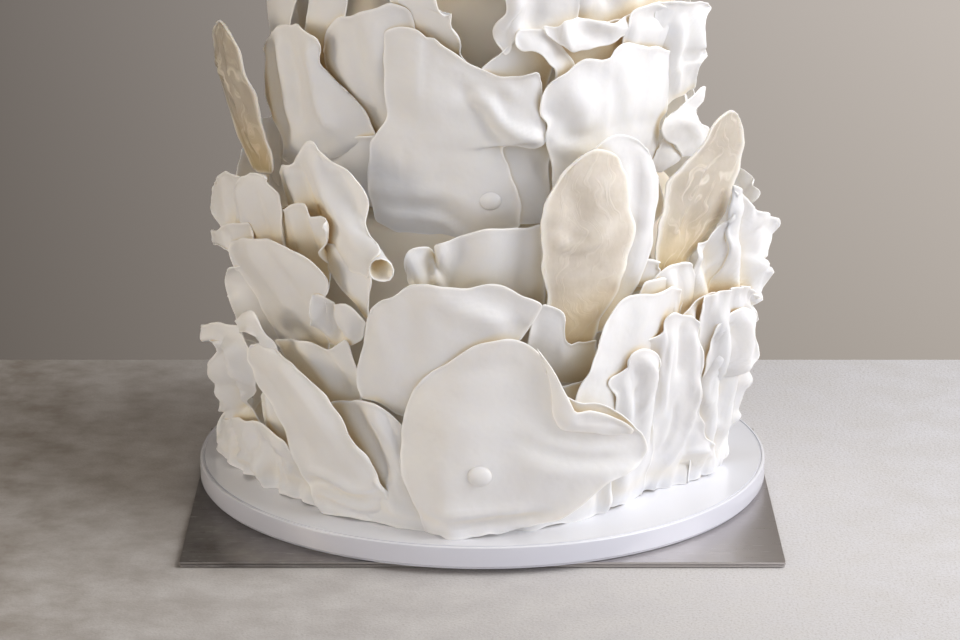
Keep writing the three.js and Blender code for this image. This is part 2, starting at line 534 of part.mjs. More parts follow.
// A thin plate about a patch, grown by a margin on every side.
function plateAbout({ at, width, height }, thickness, margin) {
  const count = (size) => THREE.MathUtils.clamp(Math.round(size / facetSize), ...facetLimits);
  const across = count(width);
  const up = count(height);
  const middle = [];
  for (let j = 0; j <= up; j += 1) {
    for (let i = 0; i <= across; i += 1) middle.push(at(i / across, j / up));
  }
  const index = (i, j) => j * (across + 1) + i;
  const near = (i, j) => middle[index(
    THREE.MathUtils.clamp(i, 0, across),
    THREE.MathUtils.clamp(j, 0, up),
  )];
  const front = [];
  const back = [];
  for (let j = 0; j <= up; j += 1) {
    for (let i = 0; i <= across; i += 1) {
      const right = near(i + 1, j).clone().sub(near(i - 1, j));
      const rise = near(i, j + 1).clone().sub(near(i, j - 1));
      const normal = right.clone().cross(rise).normalize();
      const place = near(i, j).clone();
      if (i === 0) place.addScaledVector(right.normalize(), -margin);
      if (i === across) place.addScaledVector(right.normalize(), margin);
      if (j === 0) place.addScaledVector(rise.normalize(), -margin);
      if (j === up) place.addScaledVector(rise.normalize(), margin);
      front.push(place.clone().addScaledVector(normal, thickness / 2 + margin));
      back.push(place.clone().addScaledVector(normal, -thickness / 2 - margin));
    }
  }
  const behind = front.length;
  const triangles = [];
  for (let j = 0; j < up; j += 1) {
    for (let i = 0; i < across; i += 1) {
      const [a, b, c, d] = [index(i, j), index(i + 1, j), index(i + 1, j + 1), index(i, j + 1)];
      triangles.push([a, b, c], [a, c, d]);
      triangles.push([behind + a, behind + c, behind + b], [behind + a, behind + d, behind + c]);
    }
  }
  const rim = [];
  for (let i = 0; i < across; i += 1) rim.push(index(i, 0));
  for (let j = 0; j < up; j += 1) rim.push(index(across, j));
  for (let i = across; i > 0; i -= 1) rim.push(index(i, up));
  for (let j = up; j > 0; j -= 1) rim.push(index(0, j));
  rim.forEach((here, i) => {
    const next = rim[(i + 1) % rim.length];
    triangles.push([here, behind + here, next], [next, behind + here, behind + next]);
  });
  return solidOf(bufferOf([...front, ...back], triangles));
}

// A round body from a profile of [radius, height] pairs, starting and ending on the axis.
function turnedBody(profile, sides) {
  const points = profile.map(([radius, height]) => new THREE.Vector2(radius, height));
  const geometry = new THREE.LatheGeometry(points, sides);
  geometry.rotateX(Math.PI / 2);
  return solidOf(geometry);
}

function cylinderBody(radius, foot, top, footRound, topRound) {
  const profile = [[0, foot], [radius - footRound, foot]];
  const quarter = (centreHeight, round, from) => {
    for (const part of [0, 0.5, 1]) {
      const angle = from + part * Math.PI / 2;
      profile.push([radius - round + round * Math.cos(angle), centreHeight + round * Math.sin(angle)]);
    }
  };
  if (footRound > 0) quarter(foot + footRound, footRound, -Math.PI / 2);
  else profile.push([radius, foot]);
  quarter(top - topRound, topRound, 0);
  profile.push([0, top]);
  return turnedBody(profile, roundSides);
}

// A cut can leave crumbs: only the largest piece is kept.
function largestPiece(solid) {
  const mesh = solid.getMesh();
  const corners = mesh.triVerts;
  const parent = Array.from({ length: mesh.vertProperties.length / mesh.numProp }, (_, i) => i);
  const find = (i) => {
    let root = i;
    while (parent[root] !== root) root = parent[root];
    parent[i] = root;
    return root;
  };
  for (let i = 0; i < corners.length; i += 3) {
    parent[find(corners[i])] = find(corners[i + 1]);
    parent[find(corners[i + 1])] = find(corners[i + 2]);
  }
  const corner = (i) => new THREE.Vector3().fromArray(mesh.vertProperties, corners[i] * mesh.numProp);
  const volumes = new Map();
  for (let i = 0; i < corners.length; i += 3) {
    const part = corner(i).dot(corner(i + 1).cross(corner(i + 2)));
    const root = find(corners[i]);
    volumes.set(root, (volumes.get(root) ?? 0) + part);
  }
  const [keep] = [...volumes.entries()].sort((a, b) => b[1] - a[1])[0];
  const positions = [];
  for (let i = 0; i < corners.length; i += 3) {
    if (find(corners[i]) !== keep) continue;
    for (const k of [i, i + 1, i + 2]) positions.push(...corner(k).toArray());
  }
  const geometry = new THREE.BufferGeometry();
  geometry.setAttribute('position', new THREE.Float32BufferAttribute(positions, 3));
  return mergeVertices(geometry, 1e-4);
}

// ---------------------------------------------------------------- putting the cake together
const cake = new THREE.Group();
const taken = [];                     // the pieces so far, each grown by the gap

function touches(a, b) {
  const [boxA, boxB] = [a.boundingBox(), b.boundingBox()];
  return [0, 1, 2].every((axis) => boxA.min[axis] < boxB.max[axis] && boxB.min[axis] < boxA.max[axis]);
}

// Adds a piece, cut clear of the pieces that are there already.
function add(name, finish, solid, grown) {
  let clear = solid;
  for (const other of taken) {
    if (touches(clear, other)) clear = clear.subtract(other);
  }
  taken.push(grown);
  const geometry = largestPiece(clear);
  geometry.computeVertexNormals();
  const mesh = new THREE.Mesh(geometry, new THREE.MeshStandardMaterial(finishes[finish]));
  mesh.name = name;
  cake.add(mesh);
}

function addRound(name, finish, radius, foot, top, footRound, topRound) {
  add(
    name,
    finish,
    cylinderBody(radius, foot, top, footRound, topRound),
    cylinderBody(radius + gap, foot - gap, top + gap, footRound, topRound),
  );
}

function addPlate(shape, finish, thickness) {
  const patch = shaped(shape);
  add(shape.name, finish, plateAbout(patch, thickness, 0), plateAbout(patch, thickness, gap));
}

function steelSheet() {
  const outline = new THREE.BoxGeometry(steelWidth, steelDepth, steelThickness);
  outline.translate(0, -steelForward, steelThickness / 2);
  return solidOf(outline);
}

function beadBody(azimuth, height, radius, size) {
  const ball = new THREE.SphereGeometry(size, beadSides, beadSides / 2);
  const { x, y, z } = toPoint([azimuth, height, radius]);
  ball.translate(x, y, z);
  return solidOf(ball);
}

const steel = steelSheet();
add('steel_sheet', 'steel', steel, steel);
addRound('cake_drum', 'drum', drumRadius, steelThickness + gap, drumTop, drumEdge, drumEdge);
addRound('lower_tier', 'sponge', lowerTierRadius, lowerTierFoot, lowerTierTop, 0, tierEdge);
addRound('upper_tier', 'sponge', upperTierRadius, upperTierFoot, upperTierTop, 0, tierEdge);

// The outermost sheets lie last on the cake and keep their whole shape, so they come first.
for (const shape of [...places].reverse()) addPlate(shape, 'paste', pasteThickness);
for (const shape of [...backPlaces].reverse()) addPlate(shape, 'paste', pasteThickness);
for (const shape of shards) addPlate({ ...plain, ...shape }, 'clearSugar', shardThickness);
for (const [name, ...place] of beads) {
  add(name, 'paste', beadBody(...place, beadRadius), beadBody(...place, beadRadius + gap));
}

export default cake;
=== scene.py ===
"""A two-tier wedding cake dressed in thin wavy sheets of sugar paste.

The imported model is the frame: +Z up, the front is -Y, metres. Sizes in the tables below are
millimetres, and a place on the cake is (azimuth, height, radius): the azimuth is in degrees,
0 at the front and growing towards +X, and the height is above the steel sheet's underside.
"""

import math

import bpy
import numpy as np
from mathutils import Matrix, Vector


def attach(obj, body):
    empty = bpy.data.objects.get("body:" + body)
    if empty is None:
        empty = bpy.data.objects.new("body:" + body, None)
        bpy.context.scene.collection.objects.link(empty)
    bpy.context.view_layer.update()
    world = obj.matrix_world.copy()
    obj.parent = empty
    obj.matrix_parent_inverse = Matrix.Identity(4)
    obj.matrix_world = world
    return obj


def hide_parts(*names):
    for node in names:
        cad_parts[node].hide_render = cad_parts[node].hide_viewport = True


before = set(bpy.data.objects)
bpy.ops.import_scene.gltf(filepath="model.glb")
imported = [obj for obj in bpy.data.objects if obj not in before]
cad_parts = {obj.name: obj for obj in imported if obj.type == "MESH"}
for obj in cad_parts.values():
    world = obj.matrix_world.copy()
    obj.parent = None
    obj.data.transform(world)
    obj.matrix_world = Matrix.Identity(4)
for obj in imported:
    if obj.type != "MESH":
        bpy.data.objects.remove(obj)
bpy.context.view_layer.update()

bl_info = {
    "name": "Tiered Wedding Cake",
    "version": (1, 0, 0),
    "blender": (4, 5, 0),
    "location": "View3D > Sidebar > Cake",
    "description": "Dresses a two-tier cake in wavy sheets of sugar paste",
    "category": "Object",
}

MM = 0.001
BODY = "root"

# ------------------------------------------------------------------ sizes, in millimetres
STEEL = (305, 210, 3.3)  # width, depth, thickness
STEEL_FORWARD = 36.5  # how far the steel's middle lies in front of the drum's axis
STEEL_EDGE = 0.25
# inset, underside and top of each leaf of the steel's layered edge
STEEL_LEAVES = ((2, 0, 0.7), (0.4, 0.6, 1.6), (2, 1.5, 2.1), (0, 2, 3.3))
DRUM_RADIUS = 152.5
DRUM_THICKNESS = 11.6
DRUM_EDGE = 0.9
DRUM_SIDES = 256
GAP = 0.3  # between two things that lie on each other
DRUM_FOOT = STEEL[2] + GAP
DRUM_TOP = DRUM_FOOT + DRUM_THICKNESS
# radius, size and height of the rings cut into the drum's top and foot
DRUM_GROOVES = ((150.5, 0.55, DRUM_TOP), (153, 1.5, DRUM_FOOT))
LOWER_TIER = (101, DRUM_TOP + GAP, 150)  # radius, foot, height
UPPER_TIER = (78, LOWER_TIER[1] + LOWER_TIER[2] + GAP, 150)
TIER_EDGE = 5
TIER_SIDES = 192
BEAD_RADIUS = 5.6
BEAD_SHAPE = (1.08, 0.5, 0.95)  # across, outwards and up, against the radius
BEADS = (
    # name, azimuth, height, radius of the middle
    ("bead_upper", 2, 182, 106),
    ("bead_lower", -0.6, 50.4, 145.2),
)
SMOOTH_BELOW = math.radians(25)  # faces that meet at less than this are shaded as one

RIM = (0, 0.25, 0.6, 1.1, 2.0, 3.4)  # the first rows of a sheet, from its edge inwards
LEAST_ROWS = 3  # between them
LIP = 0.8  # how far the edges of a sheet turn outwards
LIP_REACH = 1.8
SEAT = 0.45  # how far the feet of the lowest sheets sink towards the drum
SEAT_REACH = 1.5
OUTLINE_WAVE = 34  # length of the waves in a sheet's uneven outline
OUTLINE_REACH = 9
SHARPNESS = {"folds": 2, "creases": 1.15}  # 2 is round and 1 is sharp
SECOND_RUFFLE = (0.35, 1.83, 2.3)  # height, waves and phase, against the first ruffle's
ROUND_RIM = 0.55  # how far in a paste sheet's edge is round, against its thickness
THIN_RIM = 0.12  # thickness of its edge, against its middle's
# thickness just inside the round edge, how much it grows from there, and how far in
THIN_BORDER, BORDER_GROWTH, BORDER_REACH = 0.7, 0.3, 12
PAINTED_EDGE_REACH = 0.9  # how far in the edge has its painted highlight
SOFT_WAVE = 38  # length of the broad waves in a sheet
FLUTE_WAVE = 13  # length of the small waves along its edges
FLUTE_REACH = 11
THIN_SHARD_RIM = 0.35
SHARD_BORDER_REACH = 5
# how far in a shard's edge has its painted highlight
PAINTED_SHARD_EDGE_REACH = 1.3
CAST_WAVE = 22
DEEP_REACH = 28  # how near a sheet must be to keep the open light off a place, for the painted shade
CREST_SHEETS = 9
LID_SHEETS = 7
# first seed of each group's uneven outlines, and the step from one sheet to the next
SEED_FRONT, SEED_BACK, SEED_SHARDS, SEED_CREST, SEED_STEP = 0, 1000, 2000, 3000, 10

# ------------------------------------------------------------------ the stage, in metres
TABLE_SIZE = (5, 2.8, 0.04)
TABLE_MIDDLE = (0, -1.194, -0.02)
WALL_GLOW = 0.66  # how much the wall lights the cake, against how bright it looks
LAMPS = (
    # name, place, size, watts, colour, spread in degrees, where it points
    ("window", (1.7, -0.6, 1.4), 1.9, 50, "#fefeff", 180, (0, 0, 0.16)),
    ("front", (-0.9, -2.4, 0.5), 1.8, 13, "#fafbff", 180, (0, 0, 0.16)),
    ("side", (-1.7, -0.7, 0.4), 0.7, 0.9, "#fff0da", 40, (-0.05, 0, 0.2)),
)
CAMERA_PLACE = (-0.0013, -1.7223, 0.6109)
CAMERA_DOWN = 16.9  # degrees below the horizon
CAMERA_LENS = 126

# ------------------------------------------------------------------ the sheets
# Each sheet is a patch between four edges. The foot and the top run from left to right, and the
# left and right edges hold the places between the corners, from the foot up.
# crown: how far the middle bulges out.
# folds: (height, width, then the azimuths and heights of a path over the cake) ridges, or valleys
# where the height is negative. creases: the same, but sharp.
# ruffle: edge: (height, waves, reach, phase).
# curl: (edge, reach, degrees, from, to) rolls an edge outwards between two places along it.
# corner: how round the corners are.
EDGES = ("foot", "right", "top", "left")


def shaped(name, **shape):
    """A sheet's shape. What isn't given is plain."""
    plain = {"left": [], "right": [], "crown": 0, "folds": [], "creases": [], "curl": []}
    return {**plain, "ruffle": {}, "corner": 2, "name": name, **shape}


sheets = []


def sheet(name, **shape):
    """Adds a sheet to the cake."""
    sheets.append(shaped(name, **shape))


# upper tier, from the inside out
sheet(
    "upper_far_left",
    foot=[[-100, 205, 100], [-66, 225, 104]],
    top=[[-80, 300, 110], [-60, 296, 112], [-50, 290, 112]],
    left=[[-100, 255, 106]],
    right=[[-62, 258, 109]],
    crown=4,
)
sheet(
    "upper_back_left",
    foot=[[-80, 206, 96], [-48, 218, 94]],
    top=[[-49, 296, 112], [-42, 300, 112], [-36, 294, 109]],
    left=[[-53.5, 261, 110]],
    right=[[-39.5, 271, 106]],
)
sheet(
    "upper_round_left",
    foot=[[-54, 203, 94], [-30, 200, 92]],
    top=[[-48.2, 251, 106], [-46.2, 258.5, 108], [-43, 266, 109], [-40, 270.5, 110],
        [-36, 272.5, 110], [-32, 275.5, 110], [-28, 278, 109], [-25, 280, 108], [-20, 277, 104]],
    left=[[-49, 224, 99], [-48.3, 240, 104]],
    right=[[-24, 224, 94], [-18, 255, 100]],
    crown=3,
    folds=[[-2, 5, [-36, 270], [-35, 245], [-33, 215]],
        [1.5, 6, [-30, 272], [-30, 250], [-29, 225]]],
)
sheet(
    "upper_frill_left",
    foot=[[-26, 233, 92], [-6, 232, 92]],
    top=[[-25, 300, 112], [-20, 303, 112], [-15, 298, 111]],
    left=[[-26, 265, 100]],
    right=[[-2, 248, 97], [-4, 257, 101], [-3.6, 263, 103], [-4.4, 266, 104], [-6.3, 270, 105],
        [-7, 276.5, 107], [-9.7, 275.5, 107], [-11.5, 278.5, 108], [-12.3, 285, 110]],
    curl=[["right", 4, 100, 0.25, 0.6]],
)
sheet(
    "upper_tuck_left",
    foot=[[-60, 168, 88], [-33, 168, 88]],
    top=[[-50, 200, 100], [-41, 207, 101], [-27, 212, 100]],
    left=[[-56, 182, 93]],
    right=[[-30, 188, 92]],
)
sheet(
    "upper_left",
    foot=[[-84, 178, 104], [-60, 186, 101], [-36, 205, 96]],
    top=[[-74, 243, 115], [-68.4, 251, 117], [-64, 256, 118], [-57.4, 262, 119],
        [-53.7, 264.3, 119], [-49.9, 265.6, 119], [-48.4, 263.8, 119], [-46, 261.5, 118],
        [-44, 259.5, 116], [-43.8, 255, 114]],
    left=[[-66, 198, 112], [-68, 208, 114], [-73, 220, 116]],
    right=[[-32.4, 211, 98], [-33.7, 215.5, 99], [-35, 221.5, 101], [-37.6, 227.4, 103],
        [-41, 233, 105], [-43.7, 238, 107], [-45, 244, 110]],
    creases=[[6, 5.5, [-46.5, 258], [-47.2, 243.5], [-47.5, 231], [-46.6, 220], [-43.5, 208]],
        [3, 3, [-69, 250], [-68, 232], [-66.5, 206]]],
    folds=[[-4, 4, [-66, 250], [-65, 228], [-63, 202]],
        [-2, 4, [-55, 258], [-56, 236], [-56, 210]], [2, 4, [-60, 256], [-60, 236], [-60, 210]]],
)
sheet(
    "upper_under_front",
    foot=[[4.7, 169.6, 104], [19.6, 167.8, 103]],
    top=[[3.8, 214.2, 104], [20.1, 214.1, 103]],
    left=[[3.7, 191.7, 104.5]],
    right=[[18.6, 191.8, 103.5]],
)
sheet(
    "upper_wavy_right",
    foot=[[4.6, 258.5, 107], [6, 256.3, 109], [7.3, 258.5, 109], [8, 263, 108.5], [10, 266.5, 108],
        [15, 267, 107], [20, 265, 105], [26, 262, 103]],
    top=[[6, 300, 107], [15, 304, 108], [26, 300, 106]],
    left=[[3.2, 265, 104], [3, 267.5, 104], [3.3, 270.5, 105], [5.9, 277.5, 107], [5.7, 284, 108]],
    right=[[27, 275, 104]],
    folds=[[2.5, 4, [8, 290], [9, 276], [8, 266]], [-2, 5, [14, 290], [14, 275], [13, 268]]],
)
sheet(
    "upper_drape_right",
    foot=[[18.5, 178, 106], [38.5, 181, 103], [55, 186, 100]],
    top=[[16.2, 241.6, 112.5], [18.8, 245.5, 113], [21.6, 248.3, 113.5], [23.7, 251.1, 114],
        [26.6, 252.7, 114], [29, 252.3, 114], [32.2, 251.2, 113.5], [34.1, 252.6, 113.5],
        [34.7, 254.8, 113], [36.1, 256.9, 112.5], [38.7, 258.1, 112], [41.5, 257.9, 111.5],
        [44, 255.7, 111], [47.7, 252.7, 110.5], [52.7, 251.6, 110], [57.1, 248.8, 110],
        [61, 245.5, 109], [63.1, 240.6, 108]],
    left=[[18.6, 191.9, 109], [17.5, 201.9, 111], [16, 209.8, 112], [15.6, 216.7, 113.5],
        [16, 221.5, 114], [14.7, 226.6, 113.5], [14.9, 236.7, 113]],
    right=[[56, 190, 104], [57.4, 201, 105], [59.5, 211, 105], [61.3, 214, 106], [62.5, 222, 106],
        [64.5, 226.5, 106], [64, 234, 107]],
    crown=2,
    folds=[[1.8, 5, [21, 238], [25, 231], [26.5, 224], [25, 217]],
        [-1.5, 5, [17, 228], [21, 221], [22, 213]], [1.8, 5, [16, 212], [22, 209], [28, 204]],
        [-1, 5, [24, 246], [33, 240], [36, 228], [36, 214]],
        [1, 6, [38, 252], [40, 235], [41, 215]], [-1.5, 4, [48, 246], [47, 230], [45, 212]],
        [1, 4, [55, 246], [55, 230], [53, 212]]],
)
sheet(
    "upper_front",
    foot=[[-31.5, 166, 102], [-28, 163, 101], [-17, 161, 100], [-10, 159, 99], [-3.5, 162, 102],
        [10.5, 168, 104]],
    top=[[-26.4, 266, 107], [-24.4, 267.5, 108], [-22.1, 268.5, 108], [-18.2, 268.3, 108],
        [-16.3, 267.3, 108], [-14.9, 265, 107], [-13, 265, 107], [-10.9, 261.3, 107],
        [-8, 257.5, 107], [-4.3, 253, 107], [-0.5, 250, 107], [5, 247, 108], [9, 246.5, 109],
        [13.5, 249, 110], [15.5, 242, 109]],
    left=[[-32, 178, 106], [-31.8, 198.9, 107], [-31.1, 209.3, 107], [-29.1, 214, 107],
        [-26.7, 220.5, 107], [-27.2, 238.7, 107], [-26.8, 256, 107]],
    right=[[10.3, 178, 106], [9.2, 186, 106], [7.5, 197, 106], [5.5, 208.5, 106], [16, 212, 112],
        [16, 218, 112], [15.5, 226, 110]],
    crown=2,
    folds=[[5, 4, [-4, 236], [1, 231], [4, 223], [9, 217], [15, 213]],
        [-3, 4, [-6, 240], [-1, 230], [2, 221], [5, 212]],
        [2, 4, [6, 240], [8, 232], [12, 226], [15, 226]], [-2, 3, [4, 238], [9, 230], [14, 222]],
        [-1.5, 8, [-30, 228], [-16, 221], [0, 221], [5, 208]],
        [1.5, 5, [-34, 184], [-20, 184], [-8, 184], [-2, 178]],
        [-1.8, 3.5, [-31, 178], [-20, 177], [-10, 176], [-6, 170], [-2, 164]],
        [1.4, 3, [-30, 172], [-18, 171], [-10, 169], [-6, 163]],
        [1, 9, [-18, 250], [-14, 225], [-16, 200]]],
    curl=[["top", 4, 70, 0.62, 0.95]],
)
sheet(
    "upper_swag",
    foot=[[15.7, 266.3, 111], [18, 263.8, 111.5], [20, 260.1, 112], [22.1, 257, 112],
        [23.5, 255.6, 112], [26.3, 256.4, 111], [30, 257.3, 111], [33.8, 257.8, 111],
        [36.6, 258.6, 111], [39.1, 259.6, 110], [46, 258, 106]],
    top=[[15.6, 270.7, 109], [20, 270.7, 111], [20.5, 272.2, 112], [22.7, 272.8, 112],
        [24.8, 272.8, 111], [26.2, 271.6, 111], [28.4, 272.1, 111], [31.8, 271.5, 111],
        [34.5, 269.9, 111], [37.8, 269.8, 111], [40.3, 270.7, 110], [47, 271, 106]],
    crown=1,
    folds=[[2.5, 1.8, [20.6, 270.5], [21.1, 264.2], [22.5, 257.7]],
        [-2.5, 4, [25.5, 268], [29, 264], [34, 262]], [2, 3, [30, 270], [36, 267], [41, 265]]],
)
sheet(
    "upper_top_right",
    foot=[[24, 268, 100], [66, 262, 104]],
    top=[[22, 310, 110], [30, 314, 112], [36, 316, 112], [50, 312, 113], [62, 304, 114]],
    folds=[[3, 5, [29, 306], [30, 290], [28, 274]], [-3, 4, [36, 306], [36, 290], [37, 276]],
        [3, 5, [43, 304], [42, 290], [42, 278]], [-2.5, 4, [50, 302], [50, 288], [50, 276]]],
    ruffle={"top": [3, 3, 16, 0.1]},
)
sheet(
    "upper_leaf_right",
    foot=[[68.5, 187.5, 110], [74, 186, 114]],
    top=[[57.2, 214.2, 111], [62, 217, 113], [69.9, 223, 116], [71.7, 224.3, 117],
        [74.2, 224.4, 119]],
    left=[[63.5, 194, 111], [59.6, 198.6, 111], [55.3, 204.6, 111], [53.8, 209.3, 111],
        [55.2, 213, 111]],
    right=[[82, 190, 117], [84, 193.5, 118], [76.4, 203.2, 118], [71.6, 210.8, 118],
        [73.3, 215.2, 118.5]],
    crown=2,
    folds=[[3, 4, [60, 213], [67, 206], [76, 190]], [-3, 4, [66, 216], [73, 210], [80, 198]]],
)
sheet(
    "upper_frills_right",
    foot=[[55, 212, 102], [64, 218, 107], [74, 222, 113]],
    top=[[50, 276, 112], [56, 275, 116], [61.2, 272.2, 118], [66, 271, 119], [71.5, 268, 120]],
    left=[[55, 228, 102], [54, 245, 104], [52, 262, 108]],
    right=[[71.3, 230, 115], [69.8, 238.5, 119], [72.5, 240, 120], [71.5, 243, 120],
        [68.5, 247, 120], [68.5, 253, 120], [70.9, 259.3, 120], [74.5, 264, 120]],
    folds=[[3, 2.6, [61, 264], [60.5, 250], [62, 236], [65, 222]],
        [-3, 3, [57.5, 264], [57.5, 245], [60, 225]],
        [2.5, 2.6, [67.5, 266], [67.5, 250], [69, 238]],
        [-2.5, 2.4, [64.3, 267], [64.5, 250], [66, 232]]],
)

# lower tier, from the inside out
sheet(
    "middle_front",
    foot=[[-18, 125, 112], [16, 125, 112]],
    top=[[-17, 142, 122], [-17.5, 153, 127], [-16, 162, 129], [-13, 163, 127], [-11.5, 158, 121],
        [-10.5, 165, 126], [-6.5, 168, 126], [-3, 170, 126], [1.5, 173, 126], [9.5, 173, 125],
        [14, 175, 124]],
    right=[[15, 154, 120]],
    crown=2,
    folds=[[4, 4, [-16.5, 160], [-15, 150], [-14, 138]],
        [-4, 2.5, [-11.5, 164], [-12, 156], [-12.5, 148]],
        [4, 3.5, [-9.5, 164], [-10, 154], [-10.5, 142]],
        [-2.5, 5, [-4, 168], [-5.5, 156], [-7, 144]], [2, 7, [2, 168], [1, 155], [0, 142]],
        [-2, 6, [9, 170], [9, 155], [9, 140]]],
)
sheet(
    "middle_petal_right",
    foot=[[28, 113, 120], [34, 112, 122]],
    top=[[24, 210, 129], [27, 215.5, 130], [31, 217, 130], [35, 214, 131], [38.5, 207, 131]],
    left=[[25.5, 168, 125]],
    right=[[34.5, 122, 123], [37, 132, 124], [38.3, 140, 127], [39.6, 149, 128], [40.7, 161, 130],
        [41.1, 171.5, 131], [41.3, 180, 131], [40.8, 198, 131]],
    crown=2,
    folds=[[2, 4, [38, 205], [38.5, 185], [37.5, 160], [36, 140]],
        [-2, 4, [35, 205], [36, 185], [35, 160]]],
)
sheet(
    "middle_back_right",
    foot=[[34, 128, 118], [48, 130, 118]],
    top=[[36, 200, 126], [41, 196, 127], [42.8, 191, 128]],
    left=[[36, 160, 120]],
    right=[[44, 145, 122], [42, 160, 126], [41.5, 165, 127], [44.5, 172, 128], [45, 178, 128],
        [44.2, 184, 128]],
)
sheet(
    "middle_tuck_right",
    foot=[[11, 90, 120], [27, 88, 120]],
    top=[[12.6, 134.9, 128.5], [14.3, 134.4, 129], [16.2, 133, 129.5], [17.7, 130.1, 130],
        [18.3, 125.4, 130], [18.2, 119.6, 130], [18.6, 114.3, 129.5], [20, 112, 129],
        [21.7, 112.8, 128.5], [23.6, 111.8, 127.5], [27, 112, 126]],
    left=[[10, 105, 124], [10.5, 118, 128], [11.5, 128, 129]],
    right=[[27, 100, 124]],
)
sheet(
    "left_leaf",
    foot=[[-29.3, 124, 124], [-26.6, 120.3, 126]],
    top=[[-40.3, 154.5, 125], [-39.8, 157, 126], [-37.4, 158.6, 127], [-33.8, 159.8, 128],
        [-30.6, 158.2, 129], [-27.5, 155.4, 129], [-25.5, 151, 129]],
    left=[[-30.5, 127.7, 124], [-33.8, 133.8, 124], [-36.1, 139.3, 124], [-38.5, 144.7, 124],
        [-38.4, 150, 125]],
    right=[[-25.9, 133, 128], [-25.3, 142, 129]],
    crown=1,
    folds=[[1.5, 4, [-36, 158], [-33, 148], [-30, 134]]],
)
sheet(
    "left_drape",
    foot=[[-50, 150, 119], [-41, 148, 120], [-31, 147, 129], [-24.5, 147, 137]],
    top=[[-55, 187.6, 124], [-53.1, 192, 126], [-49.9, 194.7, 128], [-47.7, 197.2, 129],
        [-45.2, 201.3, 130], [-43.2, 205.8, 131], [-40.3, 211, 132], [-38.6, 210, 132],
        [-37.9, 207, 131], [-35.8, 205.3, 131], [-32.6, 202.3, 131], [-30.5, 199.1, 130],
        [-28.8, 195, 130], [-27, 190.2, 129]],
    left=[[-54, 168, 121]],
    right=[[-23.4, 151, 139.5], [-23, 155, 141], [-22, 158.6, 142], [-21, 161, 140],
        [-22, 163.4, 136], [-23.7, 165.5, 133], [-25.5, 170, 131], [-26.5, 174, 129],
        [-26.1, 178, 128], [-25.8, 184.6, 128]],
    folds=[[4, 5, [-41, 206], [-38, 190], [-34, 176], [-28, 166]],
        [-4, 5, [-47, 196], [-45, 182], [-42, 168]], [-2.5, 4, [-34, 198], [-31, 186], [-29, 176]],
        [2, 4, [-51, 190], [-49, 178], [-47, 166]]],
)
sheet(
    "left_far",
    foot=[[-80, 140, 134], [-64.5, 138, 130]],
    top=[[-76, 173, 142], [-72.4, 178, 142], [-65.2, 185, 142], [-60, 183, 136]],
    left=[[-75, 149, 140], [-78, 152, 142], [-83, 158, 142], [-80, 167, 142]],
    folds=[[-4, 4, [-66, 182], [-69, 168], [-70, 152]]],
)
sheet(
    "left_ear",
    foot=[[-72, 136, 128], [-52, 138, 124]],
    top=[[-63.5, 176, 139], [-61.3, 183, 140], [-58.4, 187, 140], [-54.5, 191, 139],
        [-51.3, 191, 138], [-49.6, 190.2, 138]],
    left=[[-69, 148, 132], [-66.5, 157, 135], [-64.8, 167, 138]],
    right=[[-51.2, 152, 128], [-50.3, 173.6, 131], [-49.7, 180.5, 133], [-51, 183.5, 135],
        [-52, 186, 137]],
    crown=3,
    folds=[[-2.5, 4, [-57, 183], [-57, 165], [-56, 148]],
        [2, 4, [-62, 180], [-63, 165], [-64, 150]]],
    curl=[["top", 4, 90, 0.6, 1]],
)
sheet(
    "left_fold",
    foot=[[-55, 128, 119], [-41, 130, 118]],
    top=[[-52.4, 170, 128], [-50, 171.5, 130], [-47.7, 174.5, 131], [-44, 177.5, 133],
        [-41.1, 178.8, 134], [-39.6, 177, 135], [-39, 174.9, 135], [-36.3, 175.4, 135],
        [-34.7, 173.2, 135], [-34.1, 169, 134]],
    left=[[-52, 150, 125]],
    right=[[-38.5, 148, 123], [-36.8, 157, 128], [-35.3, 161, 131], [-34.2, 164.5, 133]],
    folds=[[3, 3.5, [-40, 176], [-38.5, 166], [-38, 154]],
        [-3, 4, [-44, 176], [-43, 162], [-43, 146]], [2, 3, [-48, 172], [-47, 160], [-47, 146]]],
    curl=[["right", 5, 120, 0.4, 1]],
)
sheet(
    "left_shade",
    foot=[[-80, 84, 126], [-58, 88, 118]],
    top=[[-69, 131, 140], [-62, 136, 131], [-54, 136, 119]],
    left=[[-71, 104, 136], [-71.2, 114.4, 140], [-73.4, 120.3, 140], [-71.5, 126, 140]],
    right=[[-55, 110, 113]],
    folds=[[-6, 6, [-66, 128], [-63, 108], [-64, 90]]],
)
sheet(
    "left_round",
    foot=[[-62.5, 94, 118], [-52.7, 98, 118], [-41, 98, 119]],
    top=[[-67.2, 146.6, 140], [-64.7, 149, 140], [-60, 152.8, 141], [-53.8, 156, 142],
        [-47.7, 159.4, 143], [-45.2, 158.7, 143], [-42.3, 157, 143], [-38.8, 154.6, 142],
        [-36, 150.3, 141], [-34.5, 146, 139]],
    left=[[-61.6, 105.6, 124], [-61.9, 113.5, 128], [-65.2, 123, 132], [-67.4, 130.6, 136],
        [-69.2, 135, 138], [-68.4, 140.5, 140]],
    right=[[-39, 110, 122], [-37, 122, 129], [-36.1, 132, 133], [-34.6, 138, 136],
        [-34.2, 141.5, 137]],
    crown=1,
    folds=[[1.5, 8, [-58, 148], [-52, 130], [-47, 110]],
        [-2, 5, [-52, 152], [-46, 134], [-43, 112]]],
)
